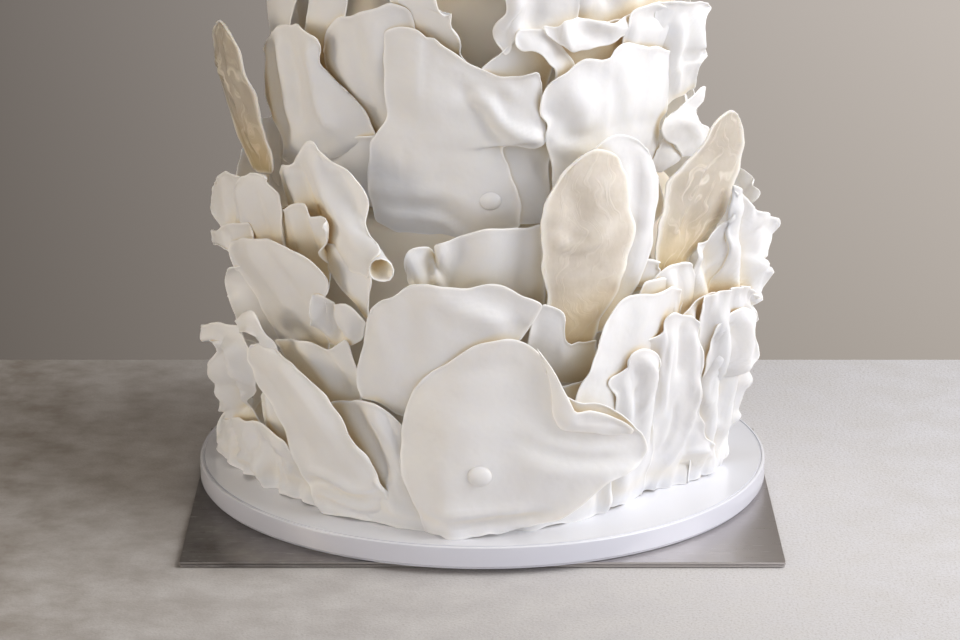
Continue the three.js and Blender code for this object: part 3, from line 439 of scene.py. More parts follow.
sheet(
    "left_heart",
    foot=[[-39.5, 102.5, 121], [-34, 104, 122]],
    top=[[-40.2, 130.5, 134], [-37.5, 133.3, 134], [-36, 132, 134], [-35.4, 127.6, 131],
        [-32.9, 130.4, 133], [-30.3, 131.4, 133], [-28.4, 128, 132], [-26.2, 121.5, 129]],
    left=[[-40.9, 110.7, 124], [-41, 116.4, 130], [-41.2, 124, 134]],
    right=[[-29, 110, 125]],
    folds=[[4, 3.2, [-40, 130], [-39.6, 120], [-37.5, 108]],
        [-4, 2.5, [-35.6, 130], [-36.4, 121], [-35, 110]],
        [2.5, 4.5, [-31, 129], [-31.5, 119], [-32, 109]]],
    curl=[["left", 4, 100, 0.5, 1]],
)
sheet(
    "front_middle",
    foot=[[-29, 81, 127], [-24.5, 78, 125], [-19, 72, 122], [-8, 66, 118], [4, 69, 118]],
    top=[[-25, 129, 132], [-22.5, 135, 134], [-18, 141, 135], [-15.5, 145, 136], [-4.5, 146, 137],
        [2.5, 147, 137], [8, 142, 136], [13, 136, 134]],
    left=[[-29, 95, 130], [-26.5, 113, 132]],
    right=[[5, 92, 124], [8, 117, 132], [11, 127, 134]],
    crown=2,
    folds=[[2.5, 6, [-11, 143], [-5, 134], [3, 129]], [-2.5, 7, [0, 142], [6, 133], [8, 120]],
        [2, 8, [-24, 125], [-22, 105], [-24, 88]], [-1.5, 6, [-16, 140], [-15, 120], [-17, 100]]],
)
sheet(
    "right_fan",
    foot=[[18.3, 75.8, 139], [31.6, 67.4, 133], [43.8, 61, 124]],
    top=[[26.4, 130.4, 141], [28.8, 135.3, 141.5], [32.8, 137.3, 141], [36.6, 136, 140],
        [43.6, 134.9, 137], [49, 131, 133]],
    left=[[19.2, 88.6, 140], [21.4, 100.9, 141], [23.3, 112.6, 141], [24.5, 121.4, 141]],
    right=[[48, 85, 123], [50, 112, 128]],
    crown=1,
    folds=[[1.5, 4, [27.5, 132], [25, 119], [22.8, 106], [21.5, 94]],
        [-1, 7, [32, 130], [30, 114], [27, 94]], [1, 6, [37, 133], [35, 119], [34, 101]],
        [1, 4, [44, 131], [42.5, 121], [39, 113]]],
)
sheet(
    "base_twist_left",
    foot=[[-85, 22, 141], [-64.5, 44, 126]],
    top=[[-78.1, 92.6, 150], [-70, 102, 150], [-60.5, 106, 143]],
    left=[[-84, 32, 142], [-83, 40, 142], [-79, 46, 141], [-78.5, 53, 142], [-75, 67, 145],
        [-72, 78, 148], [-69.3, 86, 148], [-68.5, 91, 149], [-76, 89, 150]],
    right=[[-66, 56, 130], [-60, 72, 134], [-57.5, 90, 140]],
    folds=[[4, 5, [-74, 98], [-72, 75], [-76, 50]], [-5, 4, [-66, 100], [-67, 80], [-70, 54]],
        [3, 3.5, [-61, 98], [-62, 82], [-66, 60]], [-3, 3, [-80, 60], [-82, 40]]],
    creases=[[4, 2.4, [-67, 93], [-61.5, 91], [-63, 80], [-60, 72]],
        [-3.5, 2.2, [-70, 88], [-65, 84], [-66, 76], [-63, 64]],
        [3.5, 2.2, [-69, 73], [-64, 68], [-68.4, 55]], [-3, 2, [-72, 68], [-68, 62], [-72, 50]],
        [2.5, 2, [-75, 64], [-73, 50], [-77, 36]]],
    ruffle={"left": [1.3, 4, 7, 0.2]},
)
sheet(
    "base_tuck_left",
    foot=[[-43, 50, 120], [-30.5, 66, 120]],
    top=[[-54, 100, 130], [-47.5, 105, 131], [-41.5, 106, 131], [-37.5, 103, 129],
        [-32.5, 110, 128]],
    left=[[-48, 76, 125]],
    right=[[-30, 89, 123]],
    folds=[[2.5, 5, [-46, 104], [-42, 92], [-37, 78]],
        [-2.5, 4, [-40, 103], [-36, 92], [-33, 80]]],
)
sheet(
    "base_under_left",
    foot=[[-32.5, 16, 126], [-22, 15.7, 130], [-15, 15.8, 131.5], [-8, 16, 131.5]],
    top=[[-37, 75, 127], [-29.5, 80, 129], [-24.5, 80, 130], [-21, 75, 129], [-18, 69, 127]],
    left=[[-34, 39, 126]],
    right=[[-11, 32, 129], [-15, 50, 127]],
    folds=[[-3, 5, [-31, 78], [-25, 60], [-20, 40]], [2.5, 5, [-26, 79], [-21, 62], [-17, 42]],
        [2, 4, [-24, 30], [-18, 24], [-12, 22]]],
    creases=[[2.5, 2, [-27.3, 77], [-24.2, 65], [-21.2, 47.6], [-18.3, 31.7]],
        [-2, 2, [-23, 78], [-20.5, 66], [-18, 52]],
        [2.5, 1.8, [-21.5, 41], [-21, 31], [-19.6, 20]]],
)
sheet(
    "base_skirt_left",
    foot=[[-92, 20, 142], [-86, 19, 141], [-83, 16, 140], [-77, 17.5, 136], [-74, 15.5, 134],
        [-68, 17, 132], [-65, 15.5, 131], [-58, 16.5, 128], [-53, 15.5, 127], [-46, 16.5, 126],
        [-40, 15.5, 126], [-36, 16, 124]],
    top=[[-84, 36, 139], [-68.5, 49.5, 138], [-61, 53.5, 136], [-55.9, 54.5, 136],
        [-52.9, 51.5, 134], [-48.8, 49.3, 133], [-47, 42, 131], [-41, 32, 128]],
    folds=[[2, 4, [-86, 34], [-80, 20]], [-2.5, 5, [-76, 46], [-70, 30], [-66, 18]],
        [2.5, 4, [-68, 48], [-62, 34], [-60, 18]], [-2, 4, [-58, 52], [-56, 34], [-57, 20]],
        [2, 5, [-53, 48], [-50, 32], [-50, 18]], [-2.5, 2.5, [-56, 40], [-48, 36], [-44, 28]],
        [2, 3, [-76, 30], [-66, 26], [-58, 28]], [-2, 3, [-52, 24], [-44, 24], [-40, 18]]],
    creases=[[-4, 2, [-74, 44], [-72.7, 35.5], [-72.4, 24]],
        [3.5, 2.2, [-70, 47], [-68.5, 36], [-69, 22]],
        [-3.5, 1.8, [-61.6, 53], [-61.3, 45], [-61.2, 34]],
        [3, 2, [-64, 50], [-64.5, 38], [-66, 24]],
        [3.5, 2.2, [-58.5, 50], [-52.8, 45.5], [-49.5, 38.7], [-48.8, 28]],
        [-3.5, 2.2, [-60, 45], [-55.5, 40], [-53, 33], [-52.8, 19]],
        [2.5, 2, [-73, 26.3], [-64, 26.4], [-60, 20.7]]],
    ruffle={"foot": [2, 7, 8, 0.3]},
)
sheet(
    "base_band_left",
    foot=[[-39.5, 17, 131], [-35, 16, 131], [-28, 16, 130], [-21, 16, 128]],
    top=[[-53.5, 100.5, 144], [-51.5, 103, 144], [-47.7, 101, 140]],
    left=[[-41, 28, 134], [-45, 40, 135], [-47.5, 55, 136], [-50, 66, 138], [-54.7, 78.4, 141],
        [-55.2, 85.7, 143], [-56.9, 90.7, 144], [-56.6, 95.6, 144]],
    right=[[-20.5, 32, 130], [-23, 42, 132], [-27.5, 60, 136], [-31, 73, 138], [-37, 88, 140],
        [-42, 96, 141], [-46, 99.5, 141]],
    crown=1,
    folds=[[2.5, 5, [-46, 96], [-39, 78], [-33, 60]], [-2, 5, [-53, 88], [-45, 66], [-39, 46]],
        [1.5, 3, [-34, 60], [-30, 48], [-26, 40]]],
    creases=[[4, 3.2, [-43, 33], [-40, 38.6], [-36.4, 38], [-33, 35.3], [-29.8, 32.5], [-25, 34.6],
            [-22.6, 39.3]],
        [-4, 3, [-42, 28], [-39, 33], [-36, 32.5], [-32.5, 30], [-29, 28], [-25, 30]],
        [3.5, 2.6, [-41, 25], [-37, 28], [-33.4, 25.6], [-29.3, 24], [-23.8, 25]],
        [-3, 2.4, [-39, 21], [-36, 22], [-31, 20], [-26, 19], [-22, 20]],
        [2.5, 1.8, [-39.6, 23], [-37.3, 15]], [3, 1.8, [-24, 41], [-22, 34.6], [-21, 28]],
        [1.6, 2.2, [-29.3, 68], [-27.4, 57], [-24.4, 48]]],
)
sheet(
    "base_skirt_front",
    foot=[[-4, 15.6, 133], [5, 16, 131], [12, 15.6, 129], [18.3, 16, 126], [25, 15.6, 123],
        [31.5, 16, 121.5]],
    top=[[-4, 44, 122], [8, 44, 122], [20, 44, 124], [28, 44, 125], [31, 38, 124]],
    right=[[32, 27, 123]],
    folds=[[-2, 4, [4, 36], [6, 14]], [1.5, 5, [12, 30], [11, 14]],
        [-2, 2.5, [28.5, 40], [29, 14]], [2, 2, [31, 38], [31.5, 16]]],
)
sheet(
    "base_front",
    foot=[[-12.5, 15.6, 132], [-9.5, 15.6, 137], [-7.2, 15.8, 142], [-1.6, 16.2, 139],
        [5, 17.5, 136], [11.5, 21, 138], [15.4, 25.6, 146]],
    top=[[-14.5, 93, 130], [-7.5, 106, 133], [-1.5, 116, 136], [3.5, 119, 138], [9.5, 117, 140],
        [12.5, 109, 145], [13, 102, 147], [13.5, 96, 149], [15.5, 93, 151], [18.3, 89, 153],
        [22, 88, 154], [25.5, 83, 156], [28.5, 75, 158]],
    left=[[-13.2, 22, 134], [-15, 32, 136], [-17, 44, 135], [-18, 56, 133], [-18, 68, 131],
        [-17, 80, 130]],
    right=[[20, 34, 149], [24, 45, 153], [28, 50, 155], [31.5, 57, 156], [31, 66, 157]],
    crown=2,
    folds=[[1.2, 5, [5, 78], [11, 70], [18, 65], [25, 63], [31, 62]],
        [-1.2, 4, [6, 72], [12, 64], [19, 58], [27, 57]],
        [1, 5, [7, 60], [15, 52], [22, 50], [30, 54]], [-1.5, 5, [-12, 101], [-2, 104], [8, 106]],
        [1, 8, [-14, 76], [-4, 76], [5, 74]], [1.2, 10, [-2, 60], [0, 50], [2, 40]],
        [2.5, 4, [-12, 28], [-4, 29], [2, 29], [10, 31]],
        [-3, 3, [-6, 22], [0, 23], [6, 24], [13, 27]]],
    creases=[[-1, 2, [-10, 25.5], [-3, 26], [3, 26], [11, 28.5]],
        [-0.8, 2, [12, 72], [18, 68], [24, 66.5], [29, 66]]],
)
sheet(
    "base_lobed_right",
    foot=[[29, 16, 116], [36, 16, 117], [42, 15.6, 114], [48, 16, 111]],
    top=[[26.8, 95, 138], [29.4, 97, 139], [31.2, 100, 140], [31.3, 105.5, 141], [34, 108, 141.5],
        [36.6, 107, 141.5], [38.5, 103.3, 141], [39.3, 97, 140]],
    left=[[29, 60, 128], [29.2, 74, 134], [29.4, 80, 136], [29.2, 84, 137], [27.6, 88.3, 137],
        [26.6, 92, 138]],
    right=[[44, 50, 126], [40.5, 78, 135]],
    crown=2,
    folds=[[2, 6, [36, 106], [37, 85], [39, 60], [41, 40]], [-2, 4, [33, 98], [34, 80], [36, 65]],
        [1.5, 3, [31, 92], [33, 78], [34, 62]], [-3, 2.5, [39.6, 96], [41, 72], [43, 45]],
        [2, 4, [34, 45], [37, 25]]],
    creases=[[2.5, 2, [33, 105], [36.5, 99], [38.2, 91], [37, 80], [35, 66]],
        [-2, 1.8, [33, 97], [35, 91], [34, 82]]],
)
sheet(
    "base_column_right",
    foot=[[44, 15.6, 111], [50, 16, 112], [57, 15.6, 116], [64, 16, 123], [71, 16, 128]],
    top=[[37, 110.9, 135], [39.7, 111.5, 137], [41, 114.6, 138.5], [41.3, 119.9, 139],
        [42.4, 122.5, 140], [45.4, 121.2, 140], [49, 117.5, 140.5], [50.8, 113.4, 141]],
    left=[[42, 50, 124], [40.5, 85, 132], [38, 104, 134]],
    right=[[69, 30, 131], [62, 43, 132], [57.5, 55, 134], [54, 69, 136.5], [52.8, 82, 138],
        [51.5, 103, 140]],
    folds=[[-3, 3, [46.5, 114], [47.5, 100], [48, 86]],
        [2.5, 2, [43, 114], [43.5, 90], [44.5, 64]], [2, 2, [50, 112], [50.8, 92], [52, 72]],
        [2, 6, [51, 50], [53, 30]], [-2, 3, [57, 45], [59, 30], [60, 18]],
        [-1.5, 4, [46, 60], [47, 40]], [2, 3, [62, 38], [65, 20]]],
    creases=[[3, 1.8, [51.8, 110], [52.3, 84], [54, 60], [54, 42], [51, 26]],
        [2.5, 1.8, [41.6, 116], [41.3, 99], [43.3, 75], [42.1, 58]],
        [-2, 1.8, [48.5, 70], [50, 55], [49, 40]], [3.5, 2, [58, 36], [64, 33], [68, 26]],
        [-3, 2, [58, 29], [63, 25], [66, 19]]],
    ruffle={"right": [0.8, 5, 6, 0.1], "foot": [1.5, 6, 7, 0.6]},
)
sheet(
    "right_frills_low",
    foot=[[62, 16, 120], [70, 16, 126], [80, 16, 129]],
    top=[[52, 124, 140], [56.5, 128, 146], [64, 126, 150], [70, 116, 150]],
    left=[[58, 50, 128], [56, 90, 132]],
    right=[[79, 36, 134], [74.5, 52, 139], [74, 62, 142], [75, 71, 146], [78, 76, 149],
        [78.5, 88, 144], [77, 96, 147], [73, 104, 148]],
    folds=[[3, 3, [57, 124], [60, 95], [62, 60], [67, 25]],
        [-3, 3, [61, 122], [63.5, 95], [65, 60], [70, 30]],
        [3, 2.6, [64, 120], [66.5, 95], [68, 60], [73, 30]],
        [-3, 2.4, [67, 112], [69, 92], [70.5, 60], [75, 30]],
        [2.5, 2.4, [70, 108], [72, 92], [73, 62], [77, 34]]],
    creases=[[4, 1.8, [70, 103], [61, 90], [59, 74], [61, 56]],
        [-3.5, 1.8, [73.5, 86], [66.5, 76], [63.5, 62]],
        [3.5, 1.8, [62, 116], [58.6, 102], [60, 84]], [-3, 1.8, [66, 112], [64, 100], [66, 88]],
        [3, 1.8, [65, 50], [70, 40], [70, 22]]],
    ruffle={"right": [2, 5, 10, 0], "top": [1.5, 6, 8, 0.3], "foot": [1.5, 6, 7, 0.1]},
)
sheet(
    "right_frills_high",
    foot=[[50, 100, 126], [80, 92, 136]],
    top=[[52.3, 154, 136], [55.4, 153, 136], [56.7, 156.3, 138], [58.9, 162.3, 141],
        [60.5, 171, 145], [60, 179, 147], [58.5, 182.5, 148], [62, 177, 148.5], [66.3, 166, 152],
        [70.2, 161.6, 155], [74, 154.4, 158]],
    left=[[51.5, 120, 129], [53.7, 141, 132], [53.6, 146, 134], [52.6, 150, 135]],
    right=[[72, 104, 142], [71.4, 112, 149], [73.4, 119, 154], [73.2, 127.4, 156],
        [71.6, 134.6, 152], [72.3, 143.5, 154], [74.6, 149, 158.5]],
    folds=[[3.5, 3, [54, 150], [56, 130], [58, 108]], [-4, 3, [57, 154], [59, 132], [62, 108]],
        [4, 3, [61, 172], [62, 145], [65, 112]], [-4, 3, [64, 170], [65, 145], [68, 112]],
        [3, 3, [68, 160], [69, 140], [71, 112]]],
    creases=[[3, 1.8, [62, 172], [59, 160], [60, 146], [58, 132]],
        [-3, 1.8, [70, 158], [66, 146], [67, 130]], [3, 1.8, [72, 140], [68, 128], [69, 112]]],
    ruffle={"right": [1.5, 5, 10, 0.2], "top": [1.2, 7, 7, 0.5]},
)

# sheets tucked between the others, which only the looks have
sheet(
    "tuck_upper_hollow",
    foot=[[0.5, 243, 104], [8, 238, 101], [18, 230, 97]],
    top=[[4.8, 258.2, 108.5], [8, 263, 107], [12, 265, 103], [20, 264, 99]],
    left=[[0.1, 249.7, 107], [1.6, 252.9, 107.5]],
    right=[[21, 245, 97]],
)
sheet(
    "tuck_upper_fold",
    foot=[[40, 244, 102], [62, 238, 103]],
    top=[[40.6, 270.7, 112], [41.7, 273.8, 112.5], [44.5, 275, 113], [48.4, 274.8, 113.5],
        [52.2, 273.4, 113.5], [57.5, 269.8, 113], [61.3, 266.5, 112], [63.5, 263, 111]],
    left=[[40, 256, 107]],
    right=[[64, 250, 107]],
    crown=1,
    folds=[[-2.5, 4, [46, 268], [51, 268], [57, 264]], [2, 4, [42, 268], [43, 260], [44, 252]]],
)
sheet(
    "tuck_upper_leaf",
    foot=[[53.5, 186, 105], [57, 184, 106], [63, 184.5, 107]],
    top=[[56, 198, 106], [59.5, 202, 108], [62, 199, 108]],
    left=[[54, 190, 105]],
    right=[[68.5, 187.5, 109], [65, 193, 109]],
    crown=2,
)
sheet(
    "tuck_far_left",
    foot=[[-68, 130, 137], [-60, 128, 130]],
    top=[[-82, 143, 142.5], [-76, 147, 142], [-68, 156, 141], [-60, 160, 135]],
    left=[[-69, 139, 140], [-75, 139.5, 142], [-82, 139.5, 143]],
    folds=[[-3, 3, [-70, 150], [-68, 140]]],
)
sheet(
    "tuck_base_lip",
    foot=[[12.4, 105.2, 145.5], [13.1, 93, 149.1], [14.6, 76.6, 151.6], [17.3, 74.8, 153.8],
        [19.6, 73.7, 154.9], [24.3, 71.4, 156.8], [27.6, 71.7, 158.9]],
    top=[[10.5, 116.9, 143.5], [12, 110.8, 147.2], [13, 107.5, 149.9], [14.4, 100.4, 153.5],
        [16.2, 90.1, 156], [17.1, 85.7, 156.5], [19.8, 85.6, 157.5], [23.1, 83.6, 158.5],
        [25.8, 79.1, 160], [27.9, 73.6, 161]],
    crown=1.5,
    creases=[[-1.6, 2, [17, 82.5], [20, 80.5], [24, 79], [26.5, 76]]],
)
sheet(
    "tuck_base_flap",
    foot=[[-58, 103, 144], [-54, 100, 142], [-51, 97, 141], [-47.5, 99, 140]],
    top=[[-59.6, 109.8, 147], [-55, 116.9, 147.5], [-52.6, 119.3, 148], [-50.8, 119.2, 148],
        [-49.1, 115.6, 147], [-48.4, 109.5, 144.5], [-47.4, 105, 141]],
    crown=3,
    curl=[["foot", 5, 60, 0, 0.6]],
)
sheet(
    "tuck_low_left",
    foot=[[-64.4, 38.5, 127], [-54.5, 36.6, 126], [-47.2, 29.7, 125]],
    top=[[-63.5, 64, 128], [-60, 70, 129], [-56, 68, 129], [-50, 62, 127]],
    left=[[-61, 47.7, 128], [-62.4, 53.8, 128]],
    folds=[[2, 4, [-60, 66], [-57, 52], [-53, 40]], [-2, 3, [-56, 64], [-54, 52], [-50, 40]]],
)
sheet(
    "tuck_base_inner",
    foot=[[12, 60, 124], [30, 58, 124]],
    top=[[13, 91, 128], [17.5, 91.8, 130], [18.8, 92.8, 130.5], [24.2, 93.3, 131], [30, 95, 129]],
    folds=[[2, 4, [18, 94], [20, 76], [22, 62]], [-3, 4, [25, 98], [25, 80], [26, 62]]],
)
sheet(
    "tuck_roll",
    foot=[[-24.7, 158, 131], [-24.3, 156.2, 131], [-23.5, 155.4, 131], [-22.7, 156.2, 131],
        [-22.3, 158, 131], [-22.7, 159.8, 131], [-23.5, 160.6, 131], [-24.3, 159.8, 131],
        [-24.7, 158, 131]],
    top=[[-23, 153.5, 143.4], [-22.3, 149.1, 142], [-20.5, 147.3, 140.6], [-18.7, 149.1, 140],
        [-18, 153.5, 140.6], [-18.7, 157.9, 142], [-20.5, 159.7, 143.4], [-22.3, 157.9, 144],
        [-23, 153.5, 143.4]],
)
sheet(
    "tuck_petal_curl",
    foot=[[36, 138, 124], [41, 133, 124]],
    top=[[38.5, 150, 127], [41, 149.5, 129], [43.5, 145, 131]],
    left=[[37, 143, 125]],
    right=[[43.5, 138, 127], [44.8, 141, 129]],
    crown=2,
    curl=[["right", 4, 150, 0.2, 1]],
)
sheet(
    "tuck_cup",
    foot=[[36, 124, 128], [47, 122, 129]],
    top=[[37.5, 137, 129], [41, 139.5, 131], [44, 139, 132], [46, 136, 132]],
    crown=2,
)
sheet(
    "tuck_frill_front",
    foot=[[42, 108, 127], [56, 106, 129]],
    top=[[41.5, 140.5, 129], [43.8, 143.8, 131], [47.3, 145, 132], [52.5, 143, 133]],
    left=[[41.5, 128, 128]],
    right=[[57, 122, 131]],
    crown=2,
    folds=[[2, 3, [45, 142], [46, 130], [48, 114]], [-2.5, 3, [49, 142], [50, 130], [52, 114]]],
)
sheet(
    "tuck_ribbon_high",
    foot=[[60, 48, 123], [70, 48, 128]],
    top=[[57, 108, 141], [61, 113, 145], [65.5, 112.5, 149], [67.8, 109, 152]],
    left=[[57.5, 88, 136]],
    right=[[69, 72, 141], [68.1, 78, 148], [69.9, 83, 153], [68.8, 90.3, 153], [66.8, 98.3, 150],
        [67.3, 104.6, 152]],
    folds=[[4, 2.8, [59, 110], [61, 92], [62, 70]], [-4, 2.8, [62, 110], [64, 92], [65, 70]],
        [3.5, 2.8, [65, 110], [66.5, 92], [67, 72]]],
)
sheet(
    "tuck_ribbon_mid",
    foot=[[50, 58, 121], [58, 54, 123]],
    top=[[48.5, 116, 133], [52.5, 124, 137], [56, 126, 139], [60, 122, 141]],
    folds=[[3, 3, [51, 120], [53, 96], [54, 80]], [-3, 3, [55, 122], [56, 96], [57, 80]]],
)
sheet(
    "tuck_upper_band",
    foot=[[19.5, 234, 103], [26, 232, 103]],
    top=[[7.8, 262.1, 110], [7.8, 266, 109.5], [9.5, 270, 109]],
    left=[[19.5, 240, 105.5], [19, 245.3, 108], [18.4, 249.1, 109], [16.8, 251.6, 110],
        [15.2, 255.2, 110.5], [14.2, 257.2, 110.5], [12.8, 258.6, 110.5], [10.2, 259.3, 110.5]],
    right=[[26, 244, 106], [25, 250, 107], [21, 259, 108], [16, 268, 108.5]],
    folds=[[1.5, 3, [10, 262.5], [14, 260.5], [17.5, 255], [20, 249], [21, 243]]],
)
sheet(
    "tuck_upper_under",
    foot=[[21, 236, 100], [46, 232, 100]],
    top=[[21, 268, 104], [46, 268, 104]],
)

# The back repeats sheets of the front as their mirror images. These are parts of the solid cake,
# and the other sheets of the back are only in the looks.
BACKS = {
    "upper_left": "back_top_left",
    "upper_front": "back_top_middle",
    "upper_drape_right": "back_top_right",
    "left_drape": "back_collar_left",
    "middle_petal_right": "back_collar_right",
    "left_round": "back_upper_left",
    "front_middle": "back_upper_middle",
    "right_fan": "back_upper_right",
    "base_band_left": "back_low_left",
    "base_front": "back_low_middle",
    "base_column_right": "back_low_right",
    "right_frills_low": "back_low_frills",
}
NOT_BEHIND = ("upper_far_left", "upper_top_right")  # the crest and the front cover their places
MORE_PETALS = (("behind_petal_left", 15), ("behind_petal_right", -20))  # and how far round
BACK_STRETCH = 1.12  # the right half of the back is this much wider than the front
BACK_CLOSER = 0.96  # the radius of the sheets that are parts of the cake, against the front's
UNDER_BACK_CLOSER = 0.93  # and of the others
OTHER_SIDE = {"foot": "foot", "top": "top", "left": "right", "right": "left"}

# A shard has a thickness too. waves: how deep its cast waves are. clear: how clear its sugar is.
SHARDS = (
    shaped(
        "shard_left",
        foot=[[-76, 178, 122], [-64, 181, 118]],
        top=[[-73.5, 258, 141], [-70.5, 261, 141], [-68, 259, 140]],
        left=[[-78, 192, 127], [-81.5, 208, 132], [-84, 226, 137], [-80, 247, 140]],
        right=[[-62.5, 194, 121], [-62, 207, 125], [-61.5, 221, 129], [-61.5, 235, 134],
            [-63.5, 250, 137]],
        folds=[[3, 3, [-80, 240], [-74, 226], [-70, 205], [-67, 190]],
            [2, 2, [-68, 256], [-70, 238], [-66, 215]]],
        corner=5,
        waves=2.0,
        thickness=2.4,
        clear=0.5,
    ),
    shaped(
        "shard_front",
        foot=[[16, 104, 121], [26, 104, 121]],
        top=[[18.2, 203.5, 134], [20.6, 209, 134], [23.6, 212, 134], [26.6, 211, 134],
            [30, 209.3, 134]],
        left=[[14.4, 122, 124], [14.2, 135, 127.5], [13.2, 152.5, 131], [12.6, 162, 132],
            [12.2, 172, 133], [12.4, 180, 134], [13.5, 187.6, 134], [15.5, 196.5, 134]],
        right=[[28.5, 124, 126], [31.1, 136.3, 128], [31.6, 143.4, 131], [33, 154.6, 132],
            [33.8, 167, 134], [33.3, 175, 134], [32.9, 187.5, 134], [31.9, 196.5, 134],
            [30.4, 203, 134]],
        crown=2,
        folds=[[-3, 8, [18, 192], [20, 180], [19, 168]],
            [2.2, 1.8, [15, 172], [18, 164], [24, 166], [26, 174]]],
        corner=7,
        waves=2.6,
        thickness=3.4,
        clear=0.1,
    ),
    shaped(
        "shard_right",
        foot=[[43.5, 138, 126], [53, 136, 128]],
        top=[[52.5, 219, 146], [56, 222, 148], [59.5, 219, 149]],
        left=[[42.5, 152, 128], [42.5, 164, 130], [43, 180, 132], [44.5, 191, 134],
            [47.5, 199, 137], [50.5, 208, 142]],
        right=[[54.5, 146, 130], [58, 151, 133], [60.5, 160, 136], [62.5, 172, 141],
            [63.5, 190, 145], [62.5, 209, 148]],
        folds=[[2.5, 2, [46, 160], [49, 178], [53, 200]],
            [-2.5, 5, [50, 155], [53, 175], [57, 200]],
            [1.5, 1.5, [54, 160], [57, 185], [60, 208]]],
        corner=5,
        waves=2.2,
        thickness=2.6,
        clear=0.4,
    ),
)


def moved_paths(shape, turn):
    """A sheet's folds and creases, with their azimuths turned."""
    return {
        kind: [
            (height, width, *[(turn(azimuth), place) for azimuth, place in path])
            for height, width, *path in shape[kind]
        ]
        for kind in SHARPNESS
    }


def behind(shape):
    """The mirror image of a sheet on the other side of the cake."""
    closer = BACK_CLOSER if shape["name"] in BACKS else UNDER_BACK_CLOSER

    def turn(azimuth):
        return 180 - azimuth * (BACK_STRETCH if azimuth > 0 else 1)

    def moved(places):
        return [[turn(azimuth), height, radius * closer] for azimuth, height, radius in places]

    return {
        **shape,
        "name": BACKS.get(shape["name"], "behind_" + shape["name"]),
        "foot": moved(shape["foot"])[::-1],
        "top": moved(shape["top"])[::-1],
        "left": moved(shape["right"]),
        "right": moved(shape["left"]),
        **moved_paths(shape, turn),
        "ruffle": {OTHER_SIDE[edge]: waves for edge, waves in shape["ruffle"].items()},
        "curl": [(OTHER_SIDE[edge], *size) for edge, *size in shape["curl"]],
    }


def turned(shape, degrees, name):
    """The same sheet farther round the cake."""

    def turn(azimuth):
        return azimuth + degrees

    edges = {
        edge: [[turn(azimuth), height, radius] for azimuth, height, radius in shape[edge]]
        for edge in EDGES
    }
    return {**shape, **edges, **moved_paths(shape, turn), "name": name}


def top_sheets():
    """The crest, a ring of wavy sheets about the rim of the top, and the fan that lies on it."""
    random = np.random.default_rng(5)

    def between(least, most):
        return least + (most - least) * random.random()

    made = []
    for number in range(CREST_SHEETS):
        middle = 360 * (number + between(0, 0.4)) / CREST_SHEETS
        low, high, width = between(276, 280), between(316, 326), between(27, 32)
        made.append(
            shaped(
                f"crest_{number}",
                foot=[[middle - width, low, 80.5], [middle + width, low + 3, 81.5]],
                top=[
                    [middle - width * 1.1, high - 14, 91],
                    [middle - width * 0.5, high, 97],
                    [middle + width * 0.1, high - 5, 95],
                    [middle + width * 0.6, high + 2, 99],
                    [middle + width, high - 16, 96],
                ],
                crown=3,
                ruffle={"top": [3.5, between(2.5, 3.5), 18, between(0, 1)]},
            )
        )
    for number in range(LID_SHEETS):
        middle = 360 * (number + between(0, 0.5)) / LID_SHEETS
        reach = between(60, 78)
        made.append(
            shaped(
                f"lid_{number}",
                foot=[[middle - 50, 319, 5], [middle + 50, 317.4, 5]],
                left=[[middle - 46, 323, 38]],
                right=[[middle + 40, 317.4, 40]],
                top=[
                    [middle - 40, 323, reach - 8],
                    [middle - 24, 326, reach - 2],
                    [middle - 8, 321, reach + 3],
                    [middle + 10, 325, reach - 4],
                    [middle + 34, 318, reach - 6],
                ],
                ruffle={"top": [3, between(2, 3), 12, between(0, 1)]},
                corner=6,
            )
        )
    return made


# ------------------------------------------------------------------ shaping a patch
def to_points(places):
    """Places on the cake as points in millimetres."""
    angle = np.radians(places[..., 0])
    radius = places[..., 2]
    return np.stack([radius * np.sin(angle), -radius * np.cos(angle), places[..., 1]], -1)


class Curve:
    """A smooth curve through places, followed by the length of its chords."""

    def __init__(self, places):
        self.places = np.array(places, float)
        chords = np.linalg.norm(np.diff(to_points(self.places), axis=0), axis=1)
        self.length = chords.sum()
        self.knots = np.concatenate([[0], np.cumsum(chords)]) / self.length
        spans = np.diff(self.knots)[:, None]
        rises = np.diff(self.places, axis=0) / spans
        inner = (rises[:-1] * spans[1:] + rises[1:] * spans[:-1]) / (spans[1:] + spans[:-1])
        self.slopes = np.concatenate([rises[:1], inner, rises[-1:]])

    def at(self, t):
        """The places at shares of its length."""
        last = len(self.places) - 2
        i = np.clip(np.searchsorted(self.knots, t, side="right") - 1, 0, last)
        span = (self.knots[i + 1] - self.knots[i])[..., None]
        s = (t - self.knots[i])[..., None] / span
        return (
            (2 * s**3 - 3 * s**2 + 1) * self.places[i]
            + (s**3 - 2 * s**2 + s) * span * self.slopes[i]
            + (3 * s**2 - 2 * s**3) * self.places[i + 1]
            + (s**3 - s**2) * span * self.slopes[i + 1]
        )


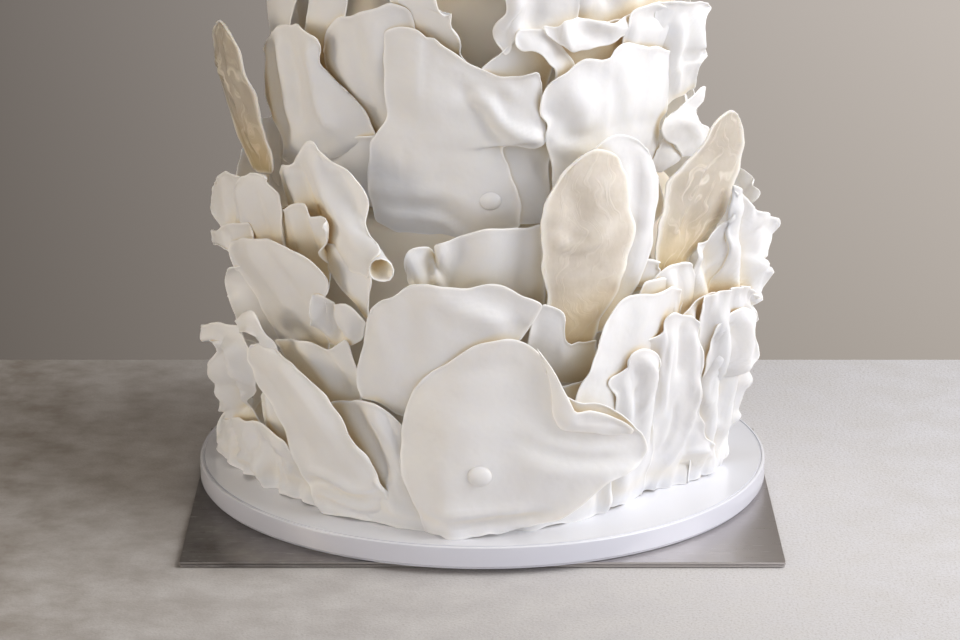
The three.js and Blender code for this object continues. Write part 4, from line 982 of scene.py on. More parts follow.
class Patch:
    """The curved surface of one sheet. u runs from left to right and v from the foot to the top."""

    def __init__(self, shape):
        self.shape = shape
        foot, top = shape["foot"], shape["top"]
        self.edges = {
            "foot": Curve(foot),
            "top": Curve(top),
            "left": Curve([foot[0], *shape["left"], top[0]]),
            "right": Curve([foot[-1], *shape["right"], top[-1]]),
        }
        self.corners = np.array([foot[0], foot[-1], top[0], top[-1]], float)
        self.width = (self.edges["foot"].length + self.edges["top"].length) / 2
        self.height = (self.edges["left"].length + self.edges["right"].length) / 2

    def from_edge(self, edge, u, v):
        """How far (u, v) is from an edge, and how far along that edge it lies."""
        away, along = {
            "left": (u * self.width, v),
            "right": ((1 - u) * self.width, v),
            "foot": (v * self.height, u),
            "top": ((1 - v) * self.height, u),
        }[edge]
        return np.maximum(away, 0), along

    def flat(self, u, v):
        """The sheet before its edges are rolled."""
        weights = [(1 - u) * (1 - v), u * (1 - v), (1 - u) * v, u * v]
        foot, top = self.edges["foot"].at(u), self.edges["top"].at(u)
        left, right = self.edges["left"].at(v), self.edges["right"].at(v)
        across, up = u[..., None], v[..., None]
        places = (1 - up) * foot + up * top + (1 - across) * left + across * right
        for weight, corner in zip(weights, self.corners):
            places = places - weight[..., None] * corner
        # 16 makes the crown whole in the middle
        rise = self.shape["crown"] * 16 * u * (1 - u) * v * (1 - v)
        for kind, sharpness in SHARPNESS.items():
            for height, reach, *path in self.shape[kind]:
                rise = rise + height * along_path(places, path, reach, sharpness)
        height_share, waves_share, phase_share = SECOND_RUFFLE
        for edge, (height, waves, reach, phase) in self.shape["ruffle"].items():
            away, along = self.from_edge(edge, u, v)
            wave = np.sin(2 * np.pi * (waves * along + phase))
            wave += height_share * np.sin(
                2 * np.pi * (waves_share * waves * along + phase_share * phase)
            )
            rise = rise + height * wave * np.exp(-((away / reach) ** 1.5))
        for edge in ("left", "top", "right"):
            rise = rise + LIP * np.exp(-((self.from_edge(edge, u, v)[0] / LIP_REACH) ** 2))
        places[..., 2] += rise
        return to_points(places)

    def beside(self, upright, across, along):
        """flat, at a place along an edge that is upright or level, and across from it."""
        return self.flat(across, along) if upright else self.flat(along, across)

    def at(self, u, v):
        """The finished surface, with its rolled edges."""
        points = self.flat(u, v)
        step = 0.01
        for edge, reach, degrees, begin, stop in self.shape["curl"]:
            away, along = self.from_edge(edge, u, v)
            upright = edge in ("left", "right")
            sign = -1 if edge in ("left", "foot") else 1
            inset = reach / (self.width if upright else self.height)
            hinge = np.full_like(u, inset if sign < 0 else 1 - inset)
            start = self.beside(upright, hinge, along)
            onward = unit(start - self.beside(upright, hinge - sign * step, along))
            ahead = self.beside(upright, hinge, np.clip(along + step, 0, 1))
            back = self.beside(upright, hinge, np.clip(along - step, 0, 1))
            outward = unit(np.cross(onward, ahead - back))
            from_axis = start * (1, 1, 0)
            outward *= np.sign((outward * from_axis).sum(-1, keepdims=True))
            fade = window(along, begin, stop)
            angle = np.maximum(math.radians(degrees) * fade, 1e-3)
            rolled_by = (angle * np.clip(reach - away, 0, reach) / reach)[..., None]
            bend = (reach / angle)[..., None]
            rolled = (
                start + onward * bend * np.sin(rolled_by) + outward * bend * (1 - np.cos(rolled_by))
            )
            share = (np.where(away < reach, 1.0, 0.0) * smooth(fade * 3))[..., None]
            points = rolled * share + points * (1 - share)
        return points


def along_path(places, path, reach, sharpness):
    """1 on a path over the cake, falling to 0 a reach away from it and towards its ends."""
    radius = places[..., 2].mean()
    line = Curve([(azimuth, height, radius) for azimuth, height in path])
    steps = np.linspace(0, 1, 41)
    size = np.array([math.radians(radius), 1])  # degrees and millimetres, both as millimetres
    here, there = places[..., :2] * size, line.at(steps)[:, :2] * size
    gaps = np.linalg.norm(here[..., None, :] - there, axis=-1)
    # a path fades over a fifth of its length at either end
    fade = smooth(5 * steps + 0.2) * smooth(5 * (1 - steps) + 0.2)
    return (fade * np.exp(-((gaps / reach) ** sharpness))).max(-1)


def unit(vectors):
    """Vectors of length 1."""
    return vectors / (np.linalg.norm(vectors, axis=-1, keepdims=True) + 1e-9)


def smooth(x):
    """A soft step from 0 to 1."""
    x = np.clip(x, 0, 1)
    return x * x * (3 - 2 * x)


def window(along, begin, stop, soft=0.15):
    """1 between two places along an edge, fading out past them. 0 and 1 don't fade."""
    rise = smooth((along - begin) / soft + 0.5) if begin > 0 else np.ones_like(along)
    fall = smooth((stop - along) / soft + 0.5) if stop < 1 else np.ones_like(along)
    return rise * fall


# ------------------------------------------------------------------ materials
def colour(code):
    """A #rrggbb sRGB colour as linear values."""
    parts = [int(code[i : i + 2], 16) / 255 for i in (1, 3, 5)]
    linear = [p / 12.92 if p <= 0.04045 else ((p + 0.055) / 1.055) ** 2.4 for p in parts]
    return (*linear, 1)


def add_node(tree, kind, **values):
    """Adds a node. A value is a node setting, an input's value or the socket linked to an input."""
    node = tree.nodes.new(kind)
    for name, value in values.items():
        if hasattr(node, name):
            setattr(node, name, value)
            continue
        socket = node.inputs[int(name[1:]) if name[1:].isdigit() else name.replace("_", " ")]
        if isinstance(value, bpy.types.NodeSocket):
            tree.links.new(value, socket)
        else:
            socket.default_value = value
    return node


def new_material(name):
    """An empty material with its node tree and its surface output."""
    material = bpy.data.materials.new(name)
    material.use_nodes = True
    tree = material.node_tree
    tree.nodes.clear()
    return material, tree, tree.nodes.new("ShaderNodeOutputMaterial")


def places_mm(tree, stretch=(1, 1, 1)):
    """Object coordinates in millimetres, stretched along the axes."""
    here = add_node(tree, "ShaderNodeTexCoord")
    scale = [part / MM for part in stretch]
    return add_node(
        tree, "ShaderNodeMapping", Vector=here.outputs["Object"], Scale=scale
    ).outputs["Vector"]


def noise(tree, vector, size, detail=3, roughness=0.5):
    """Noise whose features are about size millimetres across."""
    return add_node(
        tree,
        "ShaderNodeTexNoise",
        Vector=vector,
        Scale=1 / size,
        Detail=detail,
        Roughness=roughness,
    ).outputs["Fac"]


def blend(tree, factor, first, second):
    """A mix of two colours."""
    node = add_node(tree, "ShaderNodeMix", data_type="RGBA", i0=factor, i6=first, i7=second)
    return node.outputs[2]


def spread(tree, value, low, high, to_low=0, to_high=1):
    """A value between low and high as one between to_low and to_high."""
    return add_node(
        tree, "ShaderNodeMapRange", i0=value, i1=low, i2=high, i3=to_low, i4=to_high
    ).outputs[0]


def bump(tree, height, distance, strength=1, normal=None):
    """A bump of the given depth in millimetres."""
    node = add_node(
        tree, "ShaderNodeBump", Height=height, Distance=distance * MM, Strength=strength
    )
    if normal is not None:
        tree.links.new(normal, node.inputs["Normal"])
    return node.outputs["Normal"]


def once(make):
    """Makes a material the first time it's asked for."""
    kept = {}

    def get():
        if "made" not in kept:
            kept["made"] = make()
        return kept["made"]

    return get


def painted_crevice_shade(tree, base, shade, deep):
    """Painted shade: between the sheets, where the light has passed through the paste, the colour
    is painted warmer and darker. By the drum it isn't."""
    open_sky = add_node(tree, "ShaderNodeAmbientOcclusion", samples=8, Distance=DEEP_REACH * MM)
    height = add_node(tree, "ShaderNodeSeparateXYZ", Vector=places_mm(tree)).outputs["Z"]
    by_drum = spread(tree, height, DRUM_TOP, DRUM_TOP + DEEP_REACH, 0.9, 0)
    sky = add_node(
        tree, "ShaderNodeMath", operation="MAXIMUM", i0=open_sky.outputs["AO"], i1=by_drum
    ).outputs[0]
    shaded = blend(tree, spread(tree, sky, 0.25, 0.75), colour(shade), base)
    return blend(tree, spread(tree, sky, 0.0, 0.35), colour(deep), shaded)


def times(tree, first, second):
    """The product of two values."""
    return add_node(tree, "ShaderNodeMath", operation="MULTIPLY", i0=first, i1=second).outputs[0]


def painted_edge_highlight(tree):
    """1 on the edge of a sheet, where it's thin and a painted highlight makes it palest, falling to
    0 inwards.
    """
    return add_node(tree, "ShaderNodeAttribute", attribute_name="rim").outputs["Fac"]


def finish(tree, output, **values):
    """The material's own shader, with its settings."""
    surface = add_node(tree, "ShaderNodeBsdfPrincipled", **values)
    tree.links.new(surface.outputs["BSDF"], output.inputs["Surface"])


@once
def sugar_paste():
    """Rolled sugar paste: matt white, soft inside, with a fine grain and soft dents. Its grain is
    the icing sugar's, which is finer than 0.1 mm and drawn at 0.8 mm, as fine as can show."""
    material, tree, output = new_material("sugar paste")
    here = places_mm(tree)
    tone = spread(tree, noise(tree, here, 40), 0.35, 0.65)
    white = blend(tree, tone, bpy.context.scene.cake.paste_colour, colour("#e8e8ea"))
    # painted shade: warmer and darker between the sheets
    white = painted_crevice_shade(tree, white, "#f0e6d0", "#dcc090")
    dents = bump(tree, noise(tree, here, 11, 2), 0.9, 0.6)
    creases = bump(tree, noise(tree, here, 3.5, 2), 0.12, 0.5, dents)
    grain = bump(tree, noise(tree, here, 0.8, 2), 0.03, 0.5, creases)
    finish(
        tree,
        output,
        # painted highlight: the thin edge is painted whiter, with less subsurface, where it catches
        # and passes the light
        Base_Color=blend(tree, painted_edge_highlight(tree), white, colour("#ffffff")),
        Roughness=0.5,
        Subsurface_Weight=spread(tree, painted_edge_highlight(tree), 0, 1, 0.6, 0.1),
        Subsurface_Radius=(1.0, 0.93, 0.8),
        Subsurface_Scale=1.8 * MM,
        Normal=grain,
    )
    return material


@once
def covering():
    """The smooth paste over the tiers, a little warmer than the sheets."""
    material, tree, output = new_material("tier covering")
    here = places_mm(tree)
    dents = bump(tree, noise(tree, here, 18, 2), 0.5, 0.5)
    finish(
        tree,
        output,
        # painted shade: warmer and darker where the sheets stand close over the tiers
        Base_Color=painted_crevice_shade(tree, colour("#ebe3d4"), "#e0d2b4", "#c9a970"),
        Roughness=0.6,
        Subsurface_Weight=0.3,
        Subsurface_Radius=(1.0, 0.7, 0.4),
        Subsurface_Scale=4 * MM,
        Normal=dents,
    )
    return material


@once
def clear_sugar():
    """A cast sheet of clear sugar: cloudy beige, deeper low down, with whitish streaks along it."""
    material, tree, output = new_material("clear sugar")
    here = places_mm(tree)
    across, along, rise, clear = [
        add_node(tree, "ShaderNodeAttribute", attribute_name=name).outputs["Fac"]
        for name in ("across", "along", "rise", "clear")
    ]
    drift = spread(tree, noise(tree, here, 26, 2), 0.2, 0.8, -9, 9)
    drifted = add_node(tree, "ShaderNodeMath", operation="ADD", i0=across, i1=drift)
    flow = add_node(
        tree, "ShaderNodeCombineXYZ", X=drifted.outputs[0], Y=times(tree, rise, 0.09)
    ).outputs["Vector"]
    wisps = spread(tree, noise(tree, flow, 3.2, 4, 0.6), 0.52, 0.74)
    mist = spread(tree, noise(tree, here, 17, 4), 0.32, 0.68)
    body = blend(tree, mist, colour("#d9d0c3"), bpy.context.scene.cake.sugar_colour)
    body = blend(tree, spread(tree, clear, 0.3, 0.9), body, colour("#fbf2e2"))
    body = blend(tree, spread(tree, along, 0, 0.42), colour("#f4dfb2"), body)
    streak = times(tree, wisps, spread(tree, clear, 0.1, 0.6, 0.3, 1))
    streaked = blend(tree, streak, body, colour("#fffaf2"))
    # painted highlight: the shard's edge is painted paler and less clear
    rim = painted_edge_highlight(tree)
    clouded = times(tree, spread(tree, streak, 0, 1, 1, 0.1), spread(tree, rim, 0, 1, 1, 0.2))
    ridge = bump(tree, wisps, 0.4, 0.5)
    fine = bump(tree, noise(tree, here, 7, 2), 0.7, 0.6, ridge)
    finish(
        tree,
        output,
        Base_Color=blend(tree, rim, streaked, colour("#fffaf2")),
        Roughness=0.2,
        IOR=1.4,
        Transmission_Weight=times(tree, clear, clouded),
        Subsurface_Weight=0.4,
        Subsurface_Radius=(1.0, 0.85, 0.6),
        Subsurface_Scale=3 * MM,
        Normal=fine,
    )
    return material


@once
def drum_finish():
    """The drum's white paper: smooth satin with a cool tint. Its side is painted darker and cooler
    than its top, a painted shade for the light that falls less on the side.
    """
    material, tree, output = new_material("white drum paper")
    here = places_mm(tree)
    facing = add_node(tree, "ShaderNodeNewGeometry").outputs["Normal"]
    upward = add_node(tree, "ShaderNodeSeparateXYZ", Vector=facing).outputs["Z"]
    # painted light: faces that look up get the lighter top colour, the side a painted shade
    painted_top_light = spread(tree, upward, 0.3, 0.9)
    finish(
        tree,
        output,
        Base_Color=blend(tree, painted_top_light, colour("#d1d3df"), bpy.context.scene.cake.drum_colour),
        Roughness=0.25,
        Coat_Weight=0.5,
        Coat_Roughness=0.12,
        Normal=bump(tree, noise(tree, here, 1.2, 2), 0.02, 0.5),
    )
    return material


@once
def brushed_steel():
    """Brushed stainless steel: fine lines along it and pale scuffs, and its left half painted
    darker, a painted shade where the steel mirrors the dark left. The brush's lines are about 0.1
    mm apart and drawn at 0.6 mm, as fine as can show."""
    material, tree, output = new_material("brushed steel")
    here = places_mm(tree)
    lines = noise(tree, places_mm(tree, (0.03, 1, 1)), 0.6, 3, 0.6)
    cloudy = spread(tree, noise(tree, here, 28, 5, 0.6), 0.35, 0.65)
    scuffs = spread(tree, noise(tree, places_mm(tree, (0.12, 0.5, 1)), 1.6, 5, 0.7), 0.6, 0.72)
    side = add_node(tree, "ShaderNodeSeparateXYZ", Vector=here).outputs["X"]
    # painted shade: the left half is painted darker
    painted_dark_left = blend(tree, cloudy, colour("#7d7875"), colour("#a09c99"))
    tint = blend(tree, spread(tree, side, -120, 90), painted_dark_left, bpy.context.scene.cake.steel_colour)
    tint = blend(tree, times(tree, scuffs, cloudy), tint, colour("#f0eeee"))
    finish(
        tree,
        output,
        Base_Color=tint,
        Metallic=1.0,
        Roughness=spread(tree, lines, 0.3, 0.7, 0.26, 0.42),
        Normal=bump(tree, lines, 0.03, 0.6),
    )
    return material


@once
def table_top():
    """A pale plastered table: finely grained, softly mottled, and painted darker to the left as a
    painted shade where less light falls.
    """
    material, tree, output = new_material("plastered table")
    here = places_mm(tree)
    side = add_node(tree, "ShaderNodeSeparateXYZ", Vector=here).outputs["X"]
    # painted shade: darker to the left, where less light falls
    painted_shade_ground = blend(tree, spread(tree, side, -260, 260), colour("#9c948b"), colour("#e7e7eb"))
    patches = spread(tree, noise(tree, here, 26, 4, 0.6), 0.35, 0.65, 0, 0.5)
    tint = blend(tree, patches, painted_shade_ground, colour("#d9d7d5"))
    grains = spread(tree, noise(tree, here, 1.3, 2, 0.6), 0.5, 0.68, 0, 0.35)
    tint = blend(tree, grains, tint, colour("#a39b93"))
    finish(
        tree,
        output,
        Base_Color=tint,
        Roughness=0.8,
        Normal=bump(tree, noise(tree, here, 1.6, 3), 0.35, 0.6),
    )
    return material


# ------------------------------------------------------------------ building a piece
def active():
    """The object that was just made."""
    return bpy.context.active_object


def start():
    """Nothing is selected before a piece is made."""
    bpy.ops.object.select_all(action="DESELECT")


def modifier(piece, kind, **settings):
    """Adds a modifier with its settings."""
    made = piece.modifiers.new(kind.title(), kind)
    for name, value in settings.items():
        setattr(made, name, value)
    return made


def apply_modifiers(piece):
    """Makes what the modifiers do a part of the mesh."""
    for made in list(piece.modifiers):
        bpy.ops.object.modifier_apply(modifier=made.name)


def soften(piece, width, segments=3):
    """Rounds the sharp edges of a piece. The width is in millimetres."""
    modifier(piece, "BEVEL", width=width * MM, segments=segments, limit_method="ANGLE")
    apply_modifiers(piece)


def settle(piece, name, material):
    """Applies everything, names the piece and gives it its material."""
    bpy.ops.object.transform_apply(location=True, rotation=True, scale=True)
    apply_modifiers(piece)
    piece.name = name
    piece.data.name = name
    piece.data.materials.append(material)


def hand_over(piece, node=None):
    """Hides the part of the frame that a finished piece replaces, and hangs the piece on what it
    rides on.
    """
    if node:
        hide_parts(node)
    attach(piece, BODY)


def get_points(piece):
    """The places of a piece's vertices, in metres."""
    points = np.empty(len(piece.data.vertices) * 3)
    piece.data.vertices.foreach_get("co", points)
    return points.reshape(-1, 3)


def set_points(piece, points):
    piece.data.vertices.foreach_set("co", np.asarray(points, float).ravel())
    piece.data.update()


def vertex_group(piece, name, weights):
    """A weight for each vertex, which a modifier reads."""
    group = piece.vertex_groups.new(name=name)
    for index, weight in enumerate(np.round(weights, 3).tolist()):
        group.add((index,), weight, "REPLACE")
    return group.name


def attribute(piece, name, values):
    """A value for each vertex, which a material reads."""
    made = piece.data.attributes.new(name, "FLOAT", "POINT")
    made.data.foreach_set("value", np.asarray(values, float))


def displace(piece, name, size, depth, **settings):
    """Waves about size millimetres long."""
    texture = bpy.data.textures.new(name, "CLOUDS")
    texture.noise_scale = size * MM
    texture.noise_depth = depth
    modifier(piece, "DISPLACE", texture=texture, texture_coords="LOCAL", **settings)


def rows(length, spacing):
    """Where the rows of a sheet lie: close together at its edges and even between them."""
    rim = np.array(RIM) * min(1, length / (4 * RIM[-1]))
    count = max(LEAST_ROWS, round((length - 2 * rim[-1]) / spacing))
    inner = np.linspace(rim[-1], length - rim[-1], count + 1)[1:-1]
    return np.concatenate([rim, inner, length - rim[::-1]]) / length


def wander(along, seed, waves):
    """A gentle uneven line between -1 and 1."""
    random = np.random.default_rng(seed)
    line = np.zeros_like(along)
    for scale in (1, 1.7, 2.9):  # waves that don't fall into step
        phase = random.random() * 2 * math.pi
        line += np.sin(2 * math.pi * waves * scale * along + phase) / scale
    return line / 2


def rounded_corners(u, v, patch, radius):
    """Pulls the four square corners of a patch in to quarter circles."""
    across, up = u * patch.width, v * patch.height
    for low_u in (True, False):
        for low_v in (True, False):
            a = 1 - (across if low_u else patch.width - across) / radius
            b = 1 - (up if low_v else patch.height - up) / radius
            inside = (a > 0) & (b > 0)
            a_in, b_in = a[inside], b[inside]
            a[inside] = a_in * np.sqrt(1 - b_in**2 / 2)
            b[inside] = b_in * np.sqrt(1 - a_in**2 / 2)
            new_across = (1 - a) * radius
            new_up = (1 - b) * radius
            across = np.where(inside, new_across if low_u else patch.width - new_across, across)
            up = np.where(inside, new_up if low_v else patch.height - new_up, up)
    return across / patch.width, up / patch.height


def laid_sheet(shape, settings, seed):
    """A grid laid over a patch, with an uneven outline. Returns it with its edge distances."""
    patch = Patch(shape)
    spacing = settings.spacing / MM
    across, up = rows(patch.width, spacing), rows(patch.height, spacing)
    start()
    bpy.ops.mesh.primitive_grid_add(
        x_subdivisions=len(across) - 1, y_subdivisions=len(up) - 1, size=2, location=(0, 0, 0)
    )
    piece = active()
    flat = get_points(piece)
    u = across[np.rint((flat[:, 0] + 1) / 2 * (len(across) - 1)).astype(int)]
    v = up[np.rint((flat[:, 1] + 1) / 2 * (len(up) - 1)).astype(int)]
    edge = np.minimum(np.minimum(u, 1 - u) * patch.width, np.minimum(v, 1 - v) * patch.height)
    u, v = rounded_corners(u, v, patch, min(shape["corner"], patch.width / 4, patch.height / 4))
    reach = settings.outline / MM
    for number, name in enumerate(EDGES):
        away, along = patch.from_edge(name, u, v)
        length = patch.height if name in ("left", "right") else patch.width
        waves = wander(along, seed + number, length / OUTLINE_WAVE)
        shift = waves * reach * np.exp(-away / OUTLINE_REACH)
        if name in ("left", "right"):
            u = u + shift / patch.width * (1 if name == "left" else -1)
        else:
            v = v + shift / patch.height * (1 if name == "foot" else -1)
    points = patch.at(u, v)
    points[:, 2] -= SEAT * np.exp(-(((points[:, 2] - LOWER_TIER[1]) / SEAT_REACH) ** 2))
    set_points(piece, points * MM)
    for name, values in (("along", v), ("rise", v * patch.height), ("across", u * patch.width)):
        attribute(piece, name, values)
    return piece, edge


def paste_sheet(shape, settings, seed, node=None):
    """One sheet of sugar paste: laid, softly waved, thickened, with thin rounded edges."""
    piece, edge = laid_sheet(shape, settings, seed)
    thickness = settings.thickness / MM
    inward = np.clip(edge / (thickness * ROUND_RIM), 0, 1)
    rim = np.sqrt(np.clip(1 - (1 - inward) ** 2, 0, 1))
    border = THIN_BORDER + BORDER_GROWTH * np.clip(edge / BORDER_REACH, 0, 1)
    body = vertex_group(piece, "body", rim * border)
    flutes = vertex_group(piece, "flutes", np.exp(-edge / FLUTE_REACH))
    # painted highlight on the thin edge, read by the material
    attribute(piece, "rim", np.exp(-((edge / PAINTED_EDGE_REACH) ** 2)))
    displace(piece, "soft waves", SOFT_WAVE, 1, strength=settings.waves)
    displace(piece, "edge flutes", FLUTE_WAVE, 1, strength=settings.flutes, vertex_group=flutes)
    modifier(
        piece,
        "SOLIDIFY",
        thickness=settings.thickness,
        offset=0,
        vertex_group=body,
        thickness_vertex_group=THIN_RIM,
    )
    apply_modifiers(piece)
    bpy.ops.object.shade_smooth()
    settle(piece, "paste_" + shape["name"], sugar_paste())
    hand_over(piece, node)


def shard(shape, settings, seed):
    """One shard of clear sugar: laid, waved as it was cast, and thickened, with thinner edges."""
    piece, edge = laid_sheet(shape, settings, seed)
    body = vertex_group(piece, "body", np.clip(edge / SHARD_BORDER_REACH, 0, 1))
    # painted highlight on the shard's edge
    attribute(piece, "rim", np.exp(-((edge / PAINTED_SHARD_EDGE_REACH) ** 2)))
    attribute(piece, "clear", np.full_like(edge, shape["clear"]))
    displace(piece, "cast waves", CAST_WAVE, 2, strength=shape["waves"] * MM)
    modifier(
        piece,
        "SOLIDIFY",
        thickness=shape["thickness"] * MM,
        offset=0,
        vertex_group=body,
        thickness_vertex_group=THIN_SHARD_RIM,
    )
    apply_modifiers(piece)
    bpy.ops.object.shade_smooth()
    settle(piece, "sugar_" + shape["name"], clear_sugar())
    hand_over(piece, shape["name"])


# ------------------------------------------------------------------ settings and operators
def size_property(name, description, default):
    """A size that the user can change. Its default is in millimetres."""
    return bpy.props.FloatProperty(
        name=name, description=description, default=default * MM, subtype="DISTANCE", unit="LENGTH"
    )


def colour_property(name, description, default):
    """A colour that the user can change."""
    return bpy.props.FloatVectorProperty(
        name=name,
        description=description,
        default=colour(default),
        size=4,
        min=0,
        max=1,
        subtype="COLOR",
    )


class CakeSettings(bpy.types.PropertyGroup):
    """Sizes shared by every sheet of the cake, and the colours of its materials."""

    spacing: size_property("Row spacing", "Distance between the rows of a sheet's mesh", 2.0)
    thickness: size_property("Paste thickness", "Thickness of the rolled sugar paste", 0.9)
    outline: size_property("Uneven outline", "How far a sheet's edge wanders", 0.8)
    waves: size_property("Soft waves", "Depth of the broad waves in a sheet", 1.8)
    flutes: size_property("Edge flutes", "Depth of the small waves along a sheet's edges", 2.6)
    paste_colour: colour_property("Paste colour", "Colour of the sugar paste", "#eeeff1")
    sugar_colour: colour_property("Shard colour", "Colour of the cloudy clear sugar", "#e9e2d8")
    # the top's colour as it looks lit; the side is painted darker as a painted shade
    drum_colour: colour_property("Drum colour", "Colour of the drum's top", "#e9ebf2")
    # the right half's colour; the left half is painted darker as a painted shade
    steel_colour: colour_property("Steel colour", "Colour of the steel's bright half", "#cbc7c6")


class CAKE_OT_board(bpy.types.Operator):
    """Make the steel sheet and the round cake drum"""

    bl_idname = "cake.board"
    bl_label = "Board"

    def execute(self, context):
        leaves = []
        for inset, low, high in STEEL_LEAVES:
            start()
            bpy.ops.mesh.primitive_cube_add(
                size=1, location=(0, -STEEL_FORWARD * MM, (low + high) / 2 * MM)
            )
            leaf = active()
            leaf.scale = [(side - 2 * inset) * MM for side in STEEL[:2]] + [(high - low) * MM]
            bpy.ops.object.transform_apply(location=True, rotation=True, scale=True)
            soften(leaf, STEEL_EDGE)
            leaves.append(leaf)
        for leaf in leaves:
            leaf.select_set(True)
        bpy.ops.object.join()
        steel = active()
        settle(steel, "steel_plate", brushed_steel())
        hand_over(steel, "steel_sheet")
        start()
        bpy.ops.mesh.primitive_cylinder_add(
            vertices=DRUM_SIDES,
            radius=DRUM_RADIUS * MM,
            depth=DRUM_THICKNESS * MM,
            location=(0, 0, (DRUM_FOOT + DRUM_THICKNESS / 2) * MM),
        )
        drum = active()
        soften(drum, DRUM_EDGE, 4)
        rings = []
        for radius, size, height in DRUM_GROOVES:
            start()
            bpy.ops.mesh.primitive_torus_add(
                major_segments=DRUM_SIDES,
                minor_segments=16,
                major_radius=radius * MM,
                minor_radius=size * MM,
                location=(0, 0, height * MM),
            )
            rings.append(active())
        start()
        drum.select_set(True)
        context.view_layer.objects.active = drum
        for ring in rings:
            modifier(drum, "BOOLEAN", operation="DIFFERENCE", object=ring, solver="EXACT")
        settle(drum, "white_drum", drum_finish())
        bpy.ops.object.shade_smooth_by_angle(angle=SMOOTH_BELOW)
        for ring in rings:
            bpy.data.objects.remove(ring)
        hand_over(drum, "cake_drum")
        return {"FINISHED"}


class CAKE_OT_tiers(bpy.types.Operator):
    """Make the two covered tiers"""

    bl_idname = "cake.tiers"
    bl_label = "Tiers"

    def execute(self, context):
        for name, (radius, foot, height) in (
            ("lower_tier", LOWER_TIER),
            ("upper_tier", UPPER_TIER),
        ):
            start()
            bpy.ops.mesh.primitive_cylinder_add(
                vertices=TIER_SIDES,
                radius=radius * MM,
                depth=height * MM,
                location=(0, 0, (foot + height / 2) * MM),
            )
            tier = active()
            soften(tier, TIER_EDGE, 6)
            bpy.ops.object.shade_smooth_by_angle(angle=SMOOTH_BELOW)
            settle(tier, "covered_" + name, covering())
            hand_over(tier, name)
        return {"FINISHED"}


class CAKE_OT_sheets(bpy.types.Operator):
    """Lay the sheets of sugar paste on the front and the sides"""

    bl_idname = "cake.sheets"
    bl_label = "Sheets"

    def execute(self, context):
        for number, shape in enumerate(sheets):
            if not shape["name"].startswith("tuck_"):
                seed = SEED_FRONT + SEED_STEP * number
                paste_sheet(shape, context.scene.cake, seed, shape["name"])
        return {"FINISHED"}


class CAKE_OT_tucks(bpy.types.Operator):
    """Tuck small sheets of sugar paste into the gaps between the others"""

    bl_idname = "cake.tucks"
    bl_label = "Tucked Sheets"

    def execute(self, context):
        for number, shape in enumerate(sheets):
            if shape["name"].startswith("tuck_"):
                paste_sheet(shape, context.scene.cake, SEED_FRONT + SEED_STEP * number)
        return {"FINISHED"}


class CAKE_OT_back_sheets(bpy.types.Operator):
    """Lay the sheets of sugar paste on the back"""

    bl_idname = "cake.back_sheets"
    bl_label = "Back Sheets"

    def execute(self, context):
        kept = {shape["name"]: shape for shape in sheets}
        shapes = [behind(shape) for name, shape in kept.items() if name not in NOT_BEHIND]
        petal = behind(kept["middle_petal_right"])
        shapes += [turned(petal, degrees, name) for name, degrees in MORE_PETALS]
        for number, shape in enumerate(shapes):
            node = shape["name"] if shape["name"] in BACKS.values() else None
            paste_sheet(shape, context.scene.cake, SEED_BACK + SEED_STEP * number, node)
        return {"FINISHED"}


class CAKE_OT_crest(bpy.types.Operator):
    """Stand a ring of sheets about the rim of the top and lay a fan of them on it"""

    bl_idname = "cake.crest"
    bl_label = "Crest"

    def execute(self, context):
        for number, shape in enumerate(top_sheets()):
            paste_sheet(shape, context.scene.cake, SEED_CREST + SEED_STEP * number)
        return {"FINISHED"}


class CAKE_OT_shards(bpy.types.Operator):
    """Stand the three shards of clear sugar between the sheets"""

    bl_idname = "cake.shards"
    bl_label = "Sugar Shards"

    def execute(self, context):
        for number, shape in enumerate(SHARDS):
            shard(shape, context.scene.cake, SEED_SHARDS + SEED_STEP * number)
        return {"FINISHED"}


class CAKE_OT_beads(bpy.types.Operator):
    """Press the two small beads of paste onto the front"""

    bl_idname = "cake.beads"
    bl_label = "Beads"

    def execute(self, context):
        for name, azimuth, height, radius in BEADS:
            start()
            middle = to_points(np.array([azimuth, height, radius], float)) * MM
            bpy.ops.mesh.primitive_uv_sphere_add(
                segments=48, ring_count=32, radius=BEAD_RADIUS * MM, location=middle
            )
            bead = active()
            bead.rotation_euler.z = math.radians(azimuth)
            bead.scale = BEAD_SHAPE
            bpy.ops.object.shade_smooth()
            settle(bead, "paste_" + name, sugar_paste())
            hand_over(bead, name)
        return {"FINISHED"}


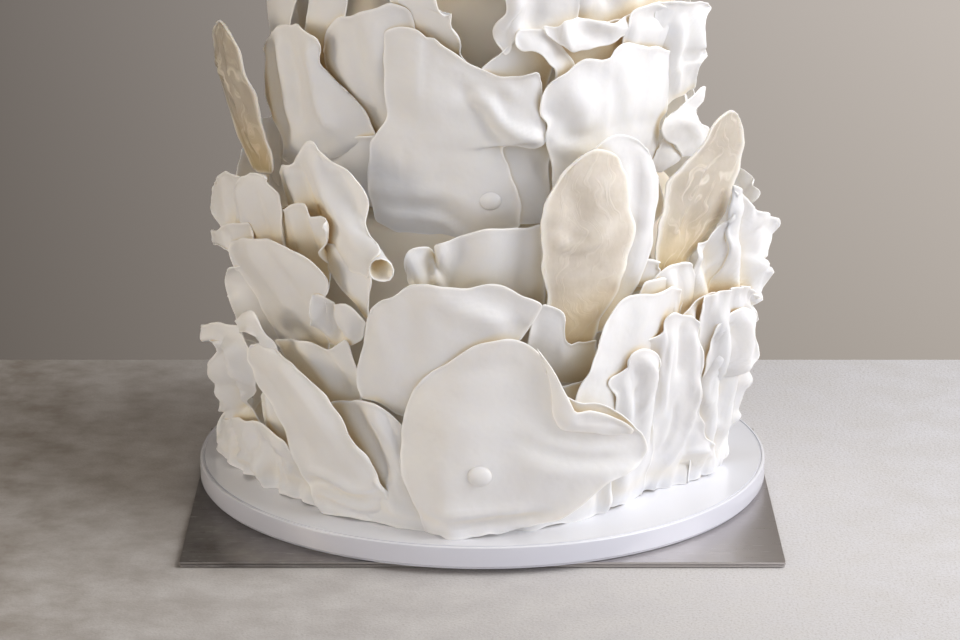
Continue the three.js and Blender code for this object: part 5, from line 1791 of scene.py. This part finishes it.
class CAKE_OT_stage(bpy.types.Operator):
    """Set the table, the wall's light, the lamps and the camera"""

    bl_idname = "cake.stage"
    bl_label = "Stage"

    def execute(self, context):
        start()
        bpy.ops.mesh.primitive_cube_add(size=1, location=TABLE_MIDDLE)
        table = active()
        table.scale = TABLE_SIZE
        bpy.ops.object.transform_apply(location=True, rotation=True, scale=True)
        settle(table, "table", table_top())

        world = bpy.data.worlds.new("pale wall")
        world.use_nodes = True
        tree = world.node_tree
        here = add_node(tree, "ShaderNodeTexCoord").outputs["Generated"]
        parts = add_node(tree, "ShaderNodeSeparateXYZ", Vector=here).outputs
        up = spread(tree, parts["Z"], -0.3, -0.2)
        lit = blend(tree, up, colour("#c9c0b7"), colour("#e0d7cf"))
        wall = blend(tree, spread(tree, parts["X"], -0.25, 0.3), colour("#342c26"), lit)
        tree.links.new(wall, tree.nodes["Background"].inputs["Color"])
        path = add_node(tree, "ShaderNodeLightPath").outputs
        seen = add_node(
            tree,
            "ShaderNodeMath",
            operation="ADD",
            i0=path["Is Camera Ray"],
            i1=path["Is Transmission Ray"],
        ).outputs[0]
        strength = spread(tree, seen, 0, 1, WALL_GLOW, 1)
        tree.links.new(strength, tree.nodes["Background"].inputs["Strength"])
        context.scene.world = world

        for name, place, size, power, tint, beam, aim in LAMPS:
            start()
            bpy.ops.object.light_add(type="AREA", location=place)
            lamp = active()
            lamp.name = name
            lamp.data.shape = "SQUARE"
            lamp.data.size = size
            lamp.data.energy = power
            lamp.data.color = colour(tint)[:3]
            lamp.data.spread = math.radians(beam)
            towards = Vector(aim) - Vector(place)
            lamp.rotation_euler = towards.to_track_quat("-Z", "Y").to_euler()

        context.scene.view_settings.view_transform = "Standard"

        camera = bpy.data.cameras.new("camera")
        camera.lens = CAMERA_LENS
        eye = bpy.data.objects.new("camera", camera)
        eye.location = CAMERA_PLACE
        eye.rotation_euler = (math.radians(90 - CAMERA_DOWN), 0, 0)
        context.scene.collection.objects.link(eye)
        context.scene.camera = eye
        return {"FINISHED"}


class CAKE_PT_panel(bpy.types.Panel):
    """The cake's settings and steps"""

    bl_idname = "CAKE_PT_panel"
    bl_label = "Tiered Wedding Cake"
    bl_space_type = "VIEW_3D"
    bl_region_type = "UI"
    bl_category = "Cake"

    def draw(self, context):
        for name in CakeSettings.__annotations__:
            self.layout.prop(context.scene.cake, name)
        for step in STEPS:
            self.layout.operator(step.bl_idname)


STEPS = (
    CAKE_OT_board,
    CAKE_OT_tiers,
    CAKE_OT_sheets,
    CAKE_OT_tucks,
    CAKE_OT_back_sheets,
    CAKE_OT_crest,
    CAKE_OT_shards,
    CAKE_OT_beads,
    CAKE_OT_stage,
)
CLASSES = (CakeSettings, *STEPS, CAKE_PT_panel)


def register():
    for cls in CLASSES:
        bpy.utils.register_class(cls)
    bpy.types.Scene.cake = bpy.props.PointerProperty(type=CakeSettings)


def unregister():
    del bpy.types.Scene.cake
    for cls in reversed(CLASSES):
        bpy.utils.unregister_class(cls)


def main():
    register()
    bpy.ops.cake.board()
    bpy.ops.cake.tiers()
    bpy.ops.cake.sheets()
    bpy.ops.cake.tucks()
    bpy.ops.cake.back_sheets()
    bpy.ops.cake.crest()
    bpy.ops.cake.shards()
    bpy.ops.cake.beads()
    bpy.ops.cake.stage()


if __name__ == "__main__":
    main()
